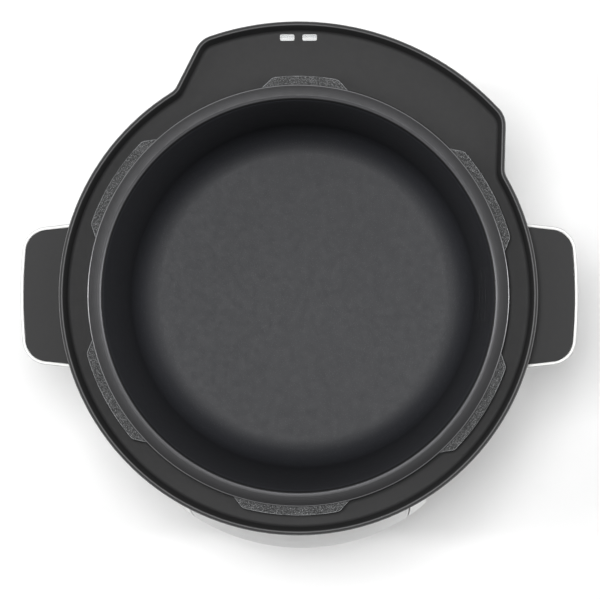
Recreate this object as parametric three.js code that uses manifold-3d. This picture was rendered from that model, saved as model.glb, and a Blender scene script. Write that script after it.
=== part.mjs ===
// Base unit of an electric pressure cooker, standing without its lid.
// Millimetres, +Z up. The origin is on the table under the pot's axis, and +Y is the rear.
import * as THREE from 'three';
import { mergeVertices } from 'three/addons/utils/BufferGeometryUtils.js';
import Module from 'manifold-3d';

const wasm = await Module();
wasm.setup();

// ---------------------------------------------------------------- driving dimensions
const gap = 0.3; // clearance between pieces that touch
const turns = 48; // facets of a large round piece
const panelTurns = 72; // facets of the front panel's round body
const smallTurns = 12; // facets of a small round piece

// Inner pot, a six litre pot with a flat rim
const potInnerRadius = 110;
const potWall = 2;
const potDepth = 160;
const potFloor = 3;
const potTaper = 1.5;
const potCorner = 22;
const potRimRadius = 119.2;
const potRimTop = 245;
const potRimThickness = 2.5;
const potBottom = potRimTop - potDepth - potFloor;

// Lugs that the lid's teeth turn under
const lugRingThickness = 3;
const lugRingTop = potRimTop - potRimThickness - gap;
const lugRingBottom = lugRingTop - lugRingThickness;
const lugRingInner = 112.5;
const lugRootRadius = 118;
const lugTipRadius = 124.3;
const lugCount = 6;
const lugFirstAngle = 88.1;
const lugHalfWidth = 17;
const rearLugHalfWidth = 12.8;
const lugEndSlant = 4.2;
const lugCollarRadius = 117;
const lugCollarBottom = 233;

// Steel bowl that the pot hangs in
const bowlInner = 113.2;
const bowlWall = 1.4;
const bowlBottom = 58;
const bowlCorner = 25;
const bowlCentreHole = 17;

// Top ring: a raised lip around a channel, with a bulge at the rear
const ringRadius = 135;
const ringTop = 248;
const lipWidth = 2.1;
const channelFloor = 232;
const channelFloorThickness = 2.5;
const channelFillet = 2;
const ringSkirtBottom = 224;
const ringBore = 118.5;
const ringCurbWidth = 2;
const ringCurbTop = 234;
const bulgeRadius = 155;
const bulgeAxis = 75.8; // degrees from +X
const bulgeSideDistance = 114.5; // of each straight side from the pot's axis
const bulgeSideAngle = 77.2; // of the side's normal, from the bulge's axis
const bulgeCorner = 14;
const bulgeFoot = 9;
const slotLength = 8.25;
const slotWidth = 3.9;
const slotSpacing = 12.8;
const slotFromAxis = 147.3;

// Outer shell, a barrel
const shellBottom = 8;
const shellTop = channelFloor - channelFloorThickness - gap;
const shellWall = 2.2;
const shellFootRadius = 126;
const shellBellyRadius = 138;
const shellNeckRadius = 130.5;
const shellBellyHeight = 122;

// Base plate, feet and the three long screws that clamp the bowl down
const baseBottom = 6;
const baseThickness = 3;
const baseTop = baseBottom + baseThickness;
const baseWallRadius = 123.2;
const baseWallTop = 20;
const boardBottom = 20; // of the power board
const footCircle = 104;
const footRadius = 10;
const footTurns = 16;
const postCircle = 80;
const postAngles = [30, 150, 270];
const postRadius = 6;

// Handles
const handleTip = 159.4;
const handleRootHalf = 42.3;
const handleEndHalf = 39.5;
const handleCorner = 14.5;
const handleTop = 228;
const handleBottom = 204;
const handleRim = 1.5;
const handleCapThickness = 1.8;
const handleWall = 2.8;
const handleScrewY = 25;
const handleScrewZ = 213;

// Front panel, turned about its own upright axis in front of the pot's
const panelAxisY = -33;
const panelReach = [[146, 50], [151.5, 53], [154.4, 60], [154.4, 140], [152, 160], [148.5, 180], [143.8, 200],
  [137.3, 222]];
const panelFaceRadius = 154.4 + panelAxisY;
const panelBottom = panelReach[0][1];
const panelTop = panelReach.at(-1)[1];
const fasciaHalf = 64.7;
const fasciaBottom = 56;
const fasciaThickness = 2.4;
const panelWall = 2.5;
const cheekLength = 16;
const cheekAngle = 48;
const panelCavityHalf = 58;
const panelCavity = [62, 212];
const display = { half: 33, bottom: 108, top: 136 };
const boardFrontY = -124;
const switchHeight = 4;
const pushButtons = [
  { name: 'menu_button', angle: -24, z: 93, width: 18, height: 9 },
  { name: 'minus_button', angle: -8, z: 93, width: 16, height: 9 },
  { name: 'plus_button', angle: 8, z: 93, width: 16, height: 9 },
  { name: 'timer_button', angle: 24, z: 93, width: 18, height: 9 },
  { name: 'cancel_button', angle: -11, z: 74, width: 36, height: 12 },
  { name: 'start_button', angle: 11, z: 74, width: 36, height: 12 },
];
const buttonProud = 0.3;
const buttonTravel = 1;
const stemRadius = 2.2;

// Heating plate and the spring loaded temperature sensor in its middle
const plateRadius = 92;
const plateHole = 18;
const plateTurns = 36;
const plateTop = potBottom - gap;
const plateThickness = 8;
const heaterRib = { inner: 58, outer: 70, depth: 7.7 };
const terminalX = 64;
const sensorRadius = 13.4;
const sensorTurns = 18;
const sensorWall = 1.2;
const sensorSkirt = 58.5;
const sleeveInner = 14;
const sleeveFloor = 52;

// Power inlet in the rear of the shell
const inletCentreZ = 37;
const inletFlangeY = 133.9;

// Condensation cup, hung on rails under the bulge
const cup = { half: 31, inner: 137.8, outerRadius: 152.6, bottom: 172, top: 223, wall: 1.6 };
const rail = { inside: 33, web: 36, outside: 38, front: 138, back: 146.5, bottom: 213, footTop: 215.5 };

// ---------------------------------------------------------------- colours of the materials
const looks = {
  shellPlastic: { color: 0xe9e9e8, roughness: 0.35, metalness: 0 },
  panelPlastic: { color: 0xc9c9c9, roughness: 0.4, metalness: 0 },
  darkPlastic: { color: 0x3b3b3c, roughness: 0.55, metalness: 0 },
  handlePlastic: { color: 0x444446, roughness: 0.5, metalness: 0 },
  coatedPot: { color: 0x4e4e50, roughness: 0.45, metalness: 0.4 },
  lugSteel: { color: 0x55585a, roughness: 0.7, metalness: 0.6 },
  steel: { color: 0xa8aaac, roughness: 0.35, metalness: 1 },
  aluminium: { color: 0xb9bbbd, roughness: 0.4, metalness: 1 },
  rubber: { color: 0x1f1f20, roughness: 0.85, metalness: 0 },
  lens: { color: 0x0c0d0f, roughness: 0.1, metalness: 0 },
  circuit: { color: 0x1f5a38, roughness: 0.5, metalness: 0 },
  component: { color: 0x232427, roughness: 0.5, metalness: 0 },
  copper: { color: 0xb87a4b, roughness: 0.4, metalness: 1 },
  clearPlastic: { color: 0xeaf0f2, roughness: 0.15, metalness: 0 },
};

// ---------------------------------------------------------------- shape helpers
const radians = THREE.MathUtils.degToRad;

function polar(radius, degrees) {
  return new THREE.Vector2(radius * Math.cos(radians(degrees)), radius * Math.sin(radians(degrees)));
}

/** Points along an arc about a centre, both ends included. */
function arc(centre, radius, from, to, step = 5.625) {
  const count = Math.max(1, Math.round(Math.abs(to - from) / step));
  const at = (i) => polar(radius, from + ((to - from) * i) / count).add(centre);
  return Array.from({ length: count + 1 }, (_, i) => at(i));
}

const origin = new THREE.Vector2(0, 0);

/** Closed solid for joining and cutting, from a closed geometry. */
function solid(geometry) {
  const bare = geometry.clone();
  bare.deleteAttribute('normal');
  bare.deleteAttribute('uv');
  const merged = mergeVertices(bare);
  const corners = merged.index.array;
  const kept = [];
  for (let i = 0; i < corners.length; i += 3) {
    const [a, b, c] = corners.slice(i, i + 3);
    if (a !== b && b !== c && c !== a) kept.push(a, b, c);
  }
  const vertProperties = new Float32Array(merged.attributes.position.array);
  return new wasm.Manifold(new wasm.Mesh({ numProp: 3, vertProperties, triVerts: new Uint32Array(kept) }));
}

/** Geometry of a joined or cut solid. */
function geometryOf(body) {
  const mesh = body.getMesh();
  const geometry = new THREE.BufferGeometry();
  geometry.setAttribute('position', new THREE.BufferAttribute(mesh.vertProperties, 3));
  geometry.setIndex(new THREE.BufferAttribute(mesh.triVerts, 1));
  geometry.computeVertexNormals();
  return geometry;
}

/** Solid of revolution about an upright axis, from a closed profile of [radius, height]. */
function revolve(profile, facets = turns) {
  const points = profile.map(([r, z]) => new THREE.Vector2(r, z));
  if (THREE.ShapeUtils.area(points) < 0) points.reverse();
  const geometry = new THREE.LatheGeometry([...points, points[0]], facets);
  return geometry.rotateX(Math.PI / 2);
}

/** Upright prism of an outline. */
function prism(outline, low, high) {
  const geometry = new THREE.ExtrudeGeometry(new THREE.Shape(outline), {
    depth: high - low,
    bevelEnabled: false,
  });
  return geometry.translate(0, 0, low);
}

function block(xLow, xHigh, yLow, yHigh, zLow, zHigh) {
  const geometry = new THREE.BoxGeometry(xHigh - xLow, yHigh - yLow, zHigh - zLow);
  return geometry.translate((xLow + xHigh) / 2, (yLow + yHigh) / 2, (zLow + zHigh) / 2);
}

/** Upright cylinder. */
function post(x, y, radius, low, high, facets = smallTurns) {
  return revolve([[0, low], [radius, low], [radius, high], [0, high]], facets).translate(x, y, 0);
}

/** Disc about the pot's axis. */
function disc(radius, low, high) {
  return revolve([[0, low], [radius, low], [radius, high], [0, high]]);
}

/** Cylinder along X. */
function crossRod(y, z, radius, from, to) {
  return post(0, 0, radius, from, to).rotateY(Math.PI / 2).translate(0, y, z);
}

function join(...geometries) {
  return geometries.map(solid).reduce((sum, body) => sum.add(body));
}

/** A first solid with all the others cut out of it. */
function cut(body, ...geometries) {
  return geometries.map(solid).reduce((rest, tool) => rest.subtract(tool), body);
}

function section(outline, path, steps) {
  return new THREE.ExtrudeGeometry(new THREE.Shape(outline), {
    steps,
    extrudePath: path,
    bevelEnabled: false,
  });
}

class Helix extends THREE.Curve {
  constructor(radius, low, high, coils) {
    super();
    Object.assign(this, { radius, low, high, coils });
  }

  getPoint(t, target = new THREE.Vector3()) {
    const turn = 2 * Math.PI * this.coils * t;
    const height = this.low + (this.high - this.low) * t;
    return target.set(this.radius * Math.cos(turn), this.radius * Math.sin(turn), height);
  }
}

const cooker = new THREE.Group();
const materials = Object.fromEntries(
  Object.entries(looks).map(([name, look]) => [name, new THREE.MeshStandardMaterial(look)]),
);

function add(name, shape, look, parent = cooker) {
  const geometry = shape.isBufferGeometry ? shape : geometryOf(shape);
  const mesh = new THREE.Mesh(geometry, materials[look]);
  mesh.name = name;
  parent.add(mesh);
  return mesh;
}

// ---------------------------------------------------------------- outer shell
function shellRadius(z) {
  const below = z < shellBellyHeight;
  const span = below ? shellBellyHeight - shellBottom : shellTop - shellBellyHeight;
  const drawnIn = shellBellyRadius - (below ? shellFootRadius : shellNeckRadius);
  return shellBellyRadius - drawnIn * ((z - shellBellyHeight) / span) ** 2;
}

/** The shell's side from low to high, moved outwards by an offset. */
function shellSide(offset, low = shellBottom, high = shellTop) {
  const rows = 7;
  const height = (i) => low + ((high - low) * i) / rows;
  return Array.from({ length: rows + 1 }, (_, i) => [shellRadius(height(i)) + offset, height(i)]);
}

/** Everything inside the shell's side, to trim what is fixed to it. */
function shellCore(low, high) {
  return revolve([[0, low], ...shellSide(gap, low, high), [0, high]]);
}

function outerShell() {
  const wall = revolve([...shellSide(0), ...shellSide(-shellWall).reverse()]);
  const inletPad = block(-21, 21, 125, inletFlangeY - gap, inletCentreZ - 19, inletCentreZ + 19);
  const panelWindow = block(-58.5, 58.5, -150, -100, 62, 208);
  const inletHole = block(-13.8, 13.8, 110, 140, inletCentreZ - 11.8, inletCentreZ + 11.8);
  const screwHoles = [-handleScrewY, handleScrewY].map((y) => crossRod(y, handleScrewZ, 2.3, -150, 150));
  return cut(join(wall, inletPad), panelWindow, inletHole, ...screwHoles);
}

// ---------------------------------------------------------------- top ring
/** The ring's outline seen from above, moved inwards by an inset. */
function ringOutline(inset) {
  const main = ringRadius - inset;
  const rear = bulgeRadius - inset;
  const corner = bulgeCorner - inset;
  const foot = bulgeFoot + inset;
  const polarAngle = (distance, along) =>
    bulgeSideAngle - THREE.MathUtils.radToDeg(Math.acos(along / distance));
  const cornerDistance = bulgeRadius - bulgeCorner;
  const footDistance = ringRadius + bulgeFoot;
  const cornerAngle = polarAngle(cornerDistance, bulgeSideDistance - bulgeCorner);
  const footAngle = polarAngle(footDistance, bulgeSideDistance + bulgeFoot);
  const around = (side, offset) => bulgeAxis + side * offset;
  const side = (sign) => {
    const cornerCentre = polar(cornerDistance, around(sign, cornerAngle));
    const footCentre = polar(footDistance, around(sign, footAngle));
    const outside = around(sign, bulgeSideAngle);
    return [
      ...arc(cornerCentre, corner, around(sign, cornerAngle), outside, 11),
      ...arc(footCentre, foot, outside + 180, around(sign, footAngle) + 180, 11),
    ];
  };
  return [
    ...arc(origin, rear, around(-1, cornerAngle), around(1, cornerAngle)).slice(1, -1),
    ...side(1),
    ...arc(origin, main, around(1, footAngle), around(-1, footAngle) + 360).slice(1, -1),
    ...side(-1).reverse(),
  ];
}

function topRing() {
  const floorBottom = channelFloor - channelFloorThickness;
  const outside = prism(ringOutline(0), ringSkirtBottom, ringTop);
  const channel = prism(ringOutline(lipWidth), channelFloor + channelFillet, ringTop + 1);
  const channelEdge = channelFloor + channelFillet;
  const channelFoot = prism(ringOutline(lipWidth + channelFillet / 2), channelFloor, channelEdge);
  const underside = prism(ringOutline(lipWidth), ringSkirtBottom - 1, floorBottom);
  const bore = disc(ringBore, floorBottom - 1, ringTop);
  const slots = [-1, 1].map((side) => {
    const x = (side * slotSpacing) / 2;
    return block(x - slotLength / 2, x + slotLength / 2, slotFromAxis - slotWidth / 2,
      slotFromAxis + slotWidth / 2, floorBottom - 1, channelFloor + 1);
  });
  const curbOuter = ringBore + ringCurbWidth;
  const curb = revolve([[ringBore, floorBottom], [curbOuter, floorBottom], [curbOuter, ringCurbTop],
    [ringBore, ringCurbTop]]);
  const locatingRib = revolve([[124.6, ringSkirtBottom], [127.6, ringSkirtBottom], [127.6, floorBottom + 1],
    [124.6, floorBottom + 1]]);
  const rails = [-1, 1].flatMap((side) => {
    const span = (a, b) => (side < 0 ? [-b, -a] : [a, b]);
    return [
      block(...span(rail.web, rail.outside), rail.front, rail.back, rail.bottom, floorBottom + 1),
      block(...span(rail.inside, rail.outside), rail.front, rail.back, rail.bottom, rail.footTop),
    ];
  });
  const tray = cut(solid(outside), channel, channelFoot, underside, bore, ...slots);
  return [curb, locatingRib, ...rails].map(solid).reduce((sum, body) => sum.add(body), tray);
}

function channelSeal() {
  const inner = bowlInner + bowlWall + gap;
  const outer = ringBore - gap;
  const low = channelFloor - channelFloorThickness;
  const high = lugCollarBottom - gap;
  return revolve([[inner, low], [outer, low], [outer, high], [inner, high]]);
}

// ---------------------------------------------------------------- lugs and bowl
function lugOutline() {
  return Array.from({ length: lugCount }, (_, i) => {
    const centre = lugFirstAngle + (360 / lugCount) * i;
    const half = i === 0 ? rearLugHalfWidth : lugHalfWidth;
    const nextHalf = i === lugCount - 1 ? rearLugHalfWidth : lugHalfWidth;
    const next = centre + 360 / lugCount;
    return [
      ...arc(origin, lugTipRadius, centre - half + lugEndSlant, centre + half - lugEndSlant),
      ...arc(origin, lugRootRadius, centre + half, next - nextHalf),
    ];
  }).flat();
}

function lugRing() {
  const plate = prism(lugOutline(), lugRingBottom, lugRingTop);
  const collarInner = bowlInner + bowlWall + gap;
  const collar = revolve([[collarInner, lugCollarBottom], [lugCollarRadius, lugCollarBottom],
    [lugCollarRadius, lugRingBottom + 1], [collarInner, lugRingBottom + 1]]);
  return cut(join(plate, collar), disc(lugRingInner, lugRingBottom - 1, lugRingTop + 1));
}

function bowl() {
  const outer = bowlInner + bowlWall;
  const top = lugRingBottom - gap;
  const cornerX = bowlInner - bowlCorner;
  const cornerZ = bowlBottom + bowlWall + bowlCorner;
  const centre = new THREE.Vector2(cornerX, cornerZ);
  const quarter = (radius) => arc(centre, radius, -90, 0, 22.5).map((p) => [p.x, p.y]);
  const wall = revolve([[bowlCentreHole, bowlBottom], ...quarter(bowlCorner + bowlWall), [outer, top],
    [bowlInner, top], ...quarter(bowlCorner).reverse(), [bowlCentreHole, bowlBottom + bowlWall]]);
  const terminalHoles = [-terminalX, terminalX].map((x) => post(x, 0, 6, bowlBottom - 1, bowlBottom + 3));
  return cut(solid(wall), ...terminalHoles);
}

function innerPot() {
  const outer = potInnerRadius + potWall;
  const centre = new THREE.Vector2(outer - potTaper - potCorner, potBottom + potCorner);
  const quarter = (radius) => arc(centre, radius, -90, 0, 22.5).map((p) => [p.x, p.y]);
  const rimBottom = potRimTop - potRimThickness;
  const edge = 0.8;
  const inside = quarter(potCorner - potWall).reverse();
  const floor = potBottom + potFloor;
  inside[inside.length - 1][1] = floor;
  return revolve([[0, potBottom], ...quarter(potCorner), [outer, rimBottom - 2], [outer, rimBottom],
    [potRimRadius - edge, rimBottom], [potRimRadius, rimBottom + edge], [potRimRadius, potRimTop - edge],
    [potRimRadius - edge, potRimTop], [potInnerRadius + 1.5, potRimTop],
    [potInnerRadius + 0.7, potRimTop - edge], [potInnerRadius, rimBottom - 1], ...inside, [0, floor]]);
}

// ---------------------------------------------------------------- heater and sensor
function heatingPlate() {
  const low = plateTop - plateThickness;
  const edge = 2;
  const ribLow = low - heaterRib.depth;
  const plate = revolve([[plateHole, low], [heaterRib.inner, low], [heaterRib.inner + 1, ribLow],
    [heaterRib.outer - 1, ribLow], [heaterRib.outer, low], [plateRadius - edge, low],
    [plateRadius, low + edge], [plateRadius, plateTop - edge], [plateRadius - edge, plateTop],
    [plateHole, plateTop]], plateTurns);
  const feet = [90, 210, 330].map((angle) => {
    const { x, y } = polar(78, angle);
    return post(x, y, 5, bowlBottom + bowlWall + gap, low + 1);
  });
  return join(plate, ...feet);
}

function heaterTerminal() {
  const top = plateTop - plateThickness - heaterRib.depth - gap;
  const pin = post(0, 0, 3, 54, top);
  const tab = block(-0.5, 0.5, -3, 3, 45, 55);
  return join(pin, tab);
}

function heaterLead(side) {
  const x = side * terminalX;
  const path = new THREE.CatmullRomCurve3([
    new THREE.Vector3(x, 0, 44.2),
    new THREE.Vector3(x, 7, 35),
    new THREE.Vector3(side * 55, 30, 29),
    new THREE.Vector3(side * 41, 50, 27),
    new THREE.Vector3(side * 38, 56, 22.8),
  ]);
  return section(arc(origin, 1.5, 0, 315, 45), path, 12);
}

function sensorCap() {
  const inner = sensorRadius - sensorWall;
  const edge = 0.5;
  return revolve([[inner, sensorSkirt], [sensorRadius, sensorSkirt], [sensorRadius, plateTop - edge],
    [sensorRadius - edge, plateTop], [0, plateTop], [0, plateTop - sensorWall],
    [inner, plateTop - sensorWall]], sensorTurns);
}

function sensorSpring() {
  const wire = 0.8;
  const low = sleeveFloor + wire + gap;
  const high = plateTop - sensorWall - wire - gap;
  return section(arc(origin, wire, 0, 300, 60), new Helix(8.5, low, high, 5), 45);
}

function sensorSleeve() {
  const outer = sleeveInner + 2.5;
  const flangeLow = bowlBottom + bowlWall + gap;
  return revolve([[3, sleeveFloor - 2], [outer, sleeveFloor - 2], [outer, flangeLow], [23, flangeLow],
    [23, flangeLow + 1.5], [outer, flangeLow + 1.5], [outer, 64], [sleeveInner, 64],
    [sleeveInner, sleeveFloor], [3, sleeveFloor]], sensorTurns);
}

function thermalFuse() {
  const top = bowlBottom - gap;
  return join(post(0, 0, 8, top - 5, top), block(-1.5, 1.5, -13, 13, top - 1.5, top));
}

function pressureSwitch() {
  const top = bowlBottom - gap;
  return join(block(-9, 9, -6, 6, top - 14, top - 2), post(0, 0, 2.5, top - 3, top));
}

// ---------------------------------------------------------------- base
function basePlate() {
  const rim = shellFootRadius + 1;
  const ledge = shellBottom - gap;
  const dish = revolve([[0, baseBottom], [rim, baseBottom], [rim, ledge], [baseWallRadius, ledge],
    [baseWallRadius, baseWallTop], [baseWallRadius - 3, baseWallTop], [baseWallRadius - 3, baseTop],
    [0, baseTop]]);
  const columns = postAngles.map((angle) => {
    const { x, y } = polar(postCircle, angle);
    return post(x, y, postRadius, baseBottom + 1, bowlBottom - gap);
  });
  const boardPosts = [[-48, 28], [48, 28], [-48, 88], [48, 88]].map(([x, y]) =>
    post(x, y, 3.5, baseBottom + 1, boardBottom - gap));
  const bores = postAngles.flatMap((angle) => {
    const { x, y } = polar(postCircle, angle);
    return [post(x, y, 2.4, baseBottom - 1, bowlBottom), post(x, y, 4.8, baseBottom - 1, baseTop + 1)];
  });
  const footHoles = [45, 135, 225, 315].map((angle) => {
    const { x, y } = polar(footCircle, angle);
    return post(x, y, 4.3, baseBottom - 1, baseTop + 1);
  });
  const vents = [-1, 1].flatMap((side) => [-2, -1, 0, 1, 2].map((row) => {
    const y = row * 9 - 14;
    return block(side * 48 - 20, side * 48 + 20, y - 2, y + 2, baseBottom - 1, baseTop + 1);
  }));
  return cut(join(dish, ...columns, ...boardPosts), ...bores, ...footHoles, ...vents);
}

function foot() {
  return revolve([[0, 0], [footRadius - 1, 0], [footRadius, 1], [footRadius, baseBottom - gap],
    [4, baseBottom - gap], [4, baseTop], [0, baseTop]], footTurns);
}

function baseScrew() {
  return join(post(0, 0, 4.2, baseBottom + 0.6, baseTop + 0.6), post(0, 0, 2, baseTop, bowlBottom - 1.2));
}

// ---------------------------------------------------------------- handles
/** The right handle's outline, moved inwards by an inset. */
function handleOutline(inset) {
  const corner = handleCorner - inset;
  const centreX = handleTip - 1 - handleCorner;
  const centreY = handleEndHalf - handleCorner;
  const upper = (sign) => arc(new THREE.Vector2(centreX, sign * centreY), corner, sign * 5, sign * 83, 13);
  return [
    new THREE.Vector2(124, -handleRootHalf + inset),
    ...upper(-1).reverse(),
    new THREE.Vector2(handleTip - inset, 0),
    ...upper(1),
    new THREE.Vector2(124, handleRootHalf - inset),
  ];
}

/** The ring's side, which trims the top of each handle. */
function ringSide(clearance) {
  return disc(ringRadius + clearance, ringSkirtBottom - gap, ringTop);
}

function handleShell() {
  const recess = prism(handleOutline(handleRim), handleTop - handleCapThickness - gap, handleTop + 1);
  const backWall = block(120, 136.5, -50, 50, 190, 240);
  const grip = cut(solid(prism(handleOutline(handleWall), handleBottom - 1, 222.5)), backWall);
  const bosses = [-handleScrewY, handleScrewY].map((y) => crossRod(y, handleScrewZ, 5, 133, 146));
  const bores = [-handleScrewY, handleScrewY].map((y) => crossRod(y, handleScrewZ, 2.1, 120, 143));
  const hollow = cut(solid(prism(handleOutline(0), handleBottom, handleTop)), recess).subtract(grip);
  const whole = bosses.map(solid).reduce((sum, body) => sum.add(body), hollow);
  return cut(whole, shellCore(190, shellTop), ringSide(gap), ...bores);
}

function handleCap() {
  const plate = prism(handleOutline(handleRim + gap), handleTop - handleCapThickness, handleTop);
  return cut(solid(plate), ringSide(2 * gap));
}

function handleScrew() {
  return join(crossRod(0, 0, 4, 123.6, 126.2), crossRod(0, 0, 1.8, 126, 142));
}

// ---------------------------------------------------------------- front panel
/** The panel's whole round body, moved inwards by an inset. */
function panelBody(inset) {
  const side = panelReach.map(([reach, z]) => [reach + panelAxisY - inset, z]);
  return revolve([[0, panelBottom], ...side, [0, panelTop]], panelTurns).translate(0, panelAxisY, 0);
}

/** Holes for the buttons, square to the panel's face. */
function buttonHoles() {
  const clearance = 0.4;
  return pushButtons.map(({ angle, z, width, height }) => {
    const x = width / 2 + clearance;
    const tall = height / 2 + clearance;
    return block(-x, x, -130, -105, z - tall, z + tall).rotateZ(radians(angle)).translate(0, panelAxisY, 0);
  });
}

function panelPlan() {
  const edge = fasciaHalf + gap;
  const cornerY = panelAxisY - Math.sqrt(panelFaceRadius ** 2 - edge ** 2);
  const cheek = polar(cheekLength, cheekAngle).add(new THREE.Vector2(edge, cornerY));
  const half = [
    new THREE.Vector2(edge, -170),
    new THREE.Vector2(edge, cornerY),
    cheek,
    new THREE.Vector2(70, -112),
  ];
  const mirrored = half.map((p) => new THREE.Vector2(-p.x, p.y)).reverse();
  return [...half, ...mirrored];
}

function panelHousing() {
  const fasciaRoom = block(-fasciaHalf - gap, fasciaHalf + gap, -200, -90, fasciaBottom - gap, 230);
  const fasciaPocket = cut(solid(fasciaRoom), panelBody(fasciaThickness + gap));
  const cavity = solid(panelBody(fasciaThickness + gap + panelWall))
    .intersect(solid(block(-panelCavityHalf, panelCavityHalf, -200, -90, ...panelCavity)));
  const seat = 3; // ledge that the display's lens rests on
  const displayHole = block(-display.half + seat, display.half - seat, -170, -130,
    display.bottom + seat, display.top - seat);
  const body = solid(panelBody(0)).intersect(solid(prism(panelPlan(), panelBottom - 5, panelTop + 5)));
  const hollow = body.subtract(fasciaPocket).subtract(cavity);
  return cut(hollow, shellCore(shellBottom, shellTop), displayHole, ...buttonHoles());
}

/** A curved sheet of the panel's face, between two insets. */
function faceSheet(outerInset, innerInset, half, low, high) {
  const sheet = cut(solid(panelBody(outerInset)), panelBody(innerInset));
  return sheet.intersect(solid(block(-half, half, -200, -90, low, high)));
}

function panelFascia() {
  const sheet = faceSheet(0, fasciaThickness, fasciaHalf, fasciaBottom, panelTop);
  const displayHole = block(-display.half, display.half, -170, -130, display.bottom, display.top);
  return cut(sheet, shellCore(shellBottom, shellTop), displayHole, ...buttonHoles());
}

function displayLens() {
  return faceSheet(0.1, fasciaThickness - 0.1, display.half - gap, display.bottom + gap, display.top - gap);
}

/** Where a button's stem ends, so that it meets its switch at the end of its travel. */
function stemEnd(button) {
  const lean = radians(Math.abs(button.angle));
  const switchFace = panelAxisY - (boardFrontY - switchHeight - buttonTravel - gap);
  return switchFace / Math.cos(lean) + stemRadius * Math.tan(lean);
}

/** A push button, built about the panel's axis and pointing to -Y. */
function buttonShape(button) {
  const { width, height } = button;
  const flangeHalf = width / 2 + 1.2;
  const wallInside = panelFaceRadius - fasciaThickness - gap - panelWall;
  const flangeFront = Math.sqrt(wallInside ** 2 - flangeHalf ** 2) - 0.4;
  const flangeBack = flangeFront - 1.4;
  const face = post(0, 0, panelFaceRadius + buttonProud, -height, height, panelTurns);
  const keyBox = block(-width / 2, width / 2, -130, -flangeFront + 1, -height / 2, height / 2);
  const key = solid(keyBox).intersect(solid(face));
  const flangeTall = height / 2 + 1.2;
  const flange = block(-flangeHalf, flangeHalf, -flangeFront, -flangeBack, -flangeTall, flangeTall);
  const stem = post(0, 0, stemRadius, stemEnd(button), flangeFront - 0.5).rotateX(Math.PI / 2);
  return key.add(solid(flange)).add(solid(stem));
}

function controlBoard() {
  const board = block(-56, 56, boardFrontY, boardFrontY + 1.6, 64, 146);
  const switches = pushButtons.map((button) => {
    const x = (panelAxisY - boardFrontY) * Math.tan(radians(button.angle));
    return block(x - 3, x + 3, boardFrontY - switchHeight, boardFrontY + 0.5, button.z - 3, button.z + 3);
  });
  return join(board, ...switches);
}

function ribbonCable() {
  const x = 25;
  const path = new THREE.CatmullRomCurve3([
    new THREE.Vector3(x, 12, 24),
    new THREE.Vector3(x, 0, 15),
    new THREE.Vector3(x, -60, 12),
    new THREE.Vector3(x, -112, 18),
    new THREE.Vector3(x, -118.5, 45),
    new THREE.Vector3(x, -121.3, 80),
  ]);
  const strip = [[-7, -0.4], [7, -0.4], [7, 0.4], [-7, 0.4]].map(([a, b]) => new THREE.Vector2(a, b));
  return section(strip, path, 20);
}

// ---------------------------------------------------------------- power parts
function powerInlet() {
  const z = inletCentreZ;
  const body = block(-13.5, 13.5, 112, inletFlangeY + 1, z - 11.5, z + 11.5);
  const flange = block(-17, 17, inletFlangeY, inletFlangeY + 2, z - 15, z + 15);
  const socket = block(-11, 11, 117, 140, z - 8, z + 8);
  return cut(join(body, flange), socket);
}

// ---------------------------------------------------------------- condensation cup
function cupPlan(inset) {
  const half = cup.half - inset;
  const radius = cup.outerRadius - inset;
  const lean = THREE.MathUtils.radToDeg(Math.asin(half / radius));
  return [
    new THREE.Vector2(-half, cup.inner + inset),
    new THREE.Vector2(half, cup.inner + inset),
    ...arc(origin, radius, 90 - lean, 90 + lean, 5),
  ];
}

function condensationCup() {
  const flangeLow = rail.footTop + gap;
  const flangeHalf = rail.web - 0.7;
  const flange = block(-flangeHalf, flangeHalf, rail.front + 0.5, rail.back, flangeLow, flangeLow + 2);
  const pull = block(-12, 12, 149, 154.6, 186, 188.5);
  const outside = join(prism(cupPlan(0), cup.bottom, cup.top), flange, pull);
  return cut(outside, prism(cupPlan(cup.wall), cup.bottom + cup.wall, cup.top + 1));
}

// ---------------------------------------------------------------- assembly
add('outer_shell', outerShell(), 'shellPlastic');
add('top_ring', topRing(), 'darkPlastic');
add('channel_seal', channelSeal(), 'rubber');
add('lug_ring', lugRing(), 'lugSteel');
add('steel_bowl', bowl(), 'steel');
add('inner_pot', innerPot(), 'coatedPot');

add('heating_plate', heatingPlate(), 'aluminium');
const terminal = heaterTerminal();
add('heater_terminal_left', terminal, 'steel').position.x = -terminalX;
add('heater_terminal_right', terminal, 'steel').position.x = terminalX;
add('heater_lead_left', heaterLead(-1), 'copper');
add('heater_lead_right', heaterLead(1), 'copper');
add('sensor_cap', sensorCap(), 'aluminium');
add('sensor_spring', sensorSpring(), 'steel');
add('sensor_sleeve', sensorSleeve(), 'component');
add('thermal_fuse', thermalFuse(), 'component').position.set(38, -38, 0);
add('pressure_switch', pressureSwitch(), 'component').position.set(-40, -32, 0);

add('base_plate', basePlate(), 'darkPlastic');
const footShape = foot();
[45, 135, 225, 315].forEach((angle, i) => {
  const { x, y } = polar(footCircle, angle);
  add(`foot_${i + 1}`, footShape, 'rubber').position.set(x, y, 0);
});
const baseScrewShape = baseScrew();
postAngles.forEach((angle, i) => {
  const { x, y } = polar(postCircle, angle);
  add(`base_screw_${i + 1}`, baseScrewShape, 'steel').position.set(x, y, 0);
});

const shapes = { shell: handleShell(), cap: handleCap(), screw: handleScrew() };
for (const [side, turn] of [['right', 0], ['left', Math.PI]]) {
  const handle = new THREE.Group();
  handle.rotation.z = turn;
  cooker.add(handle);
  add(`${side}_handle_shell`, shapes.shell, 'shellPlastic', handle);
  add(`${side}_handle_cap`, shapes.cap, 'handlePlastic', handle);
  add(`${side}_handle_screw_1`, shapes.screw, 'steel', handle).position.set(0, -handleScrewY, handleScrewZ);
  add(`${side}_handle_screw_2`, shapes.screw, 'steel', handle).position.set(0, handleScrewY, handleScrewZ);
}

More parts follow.
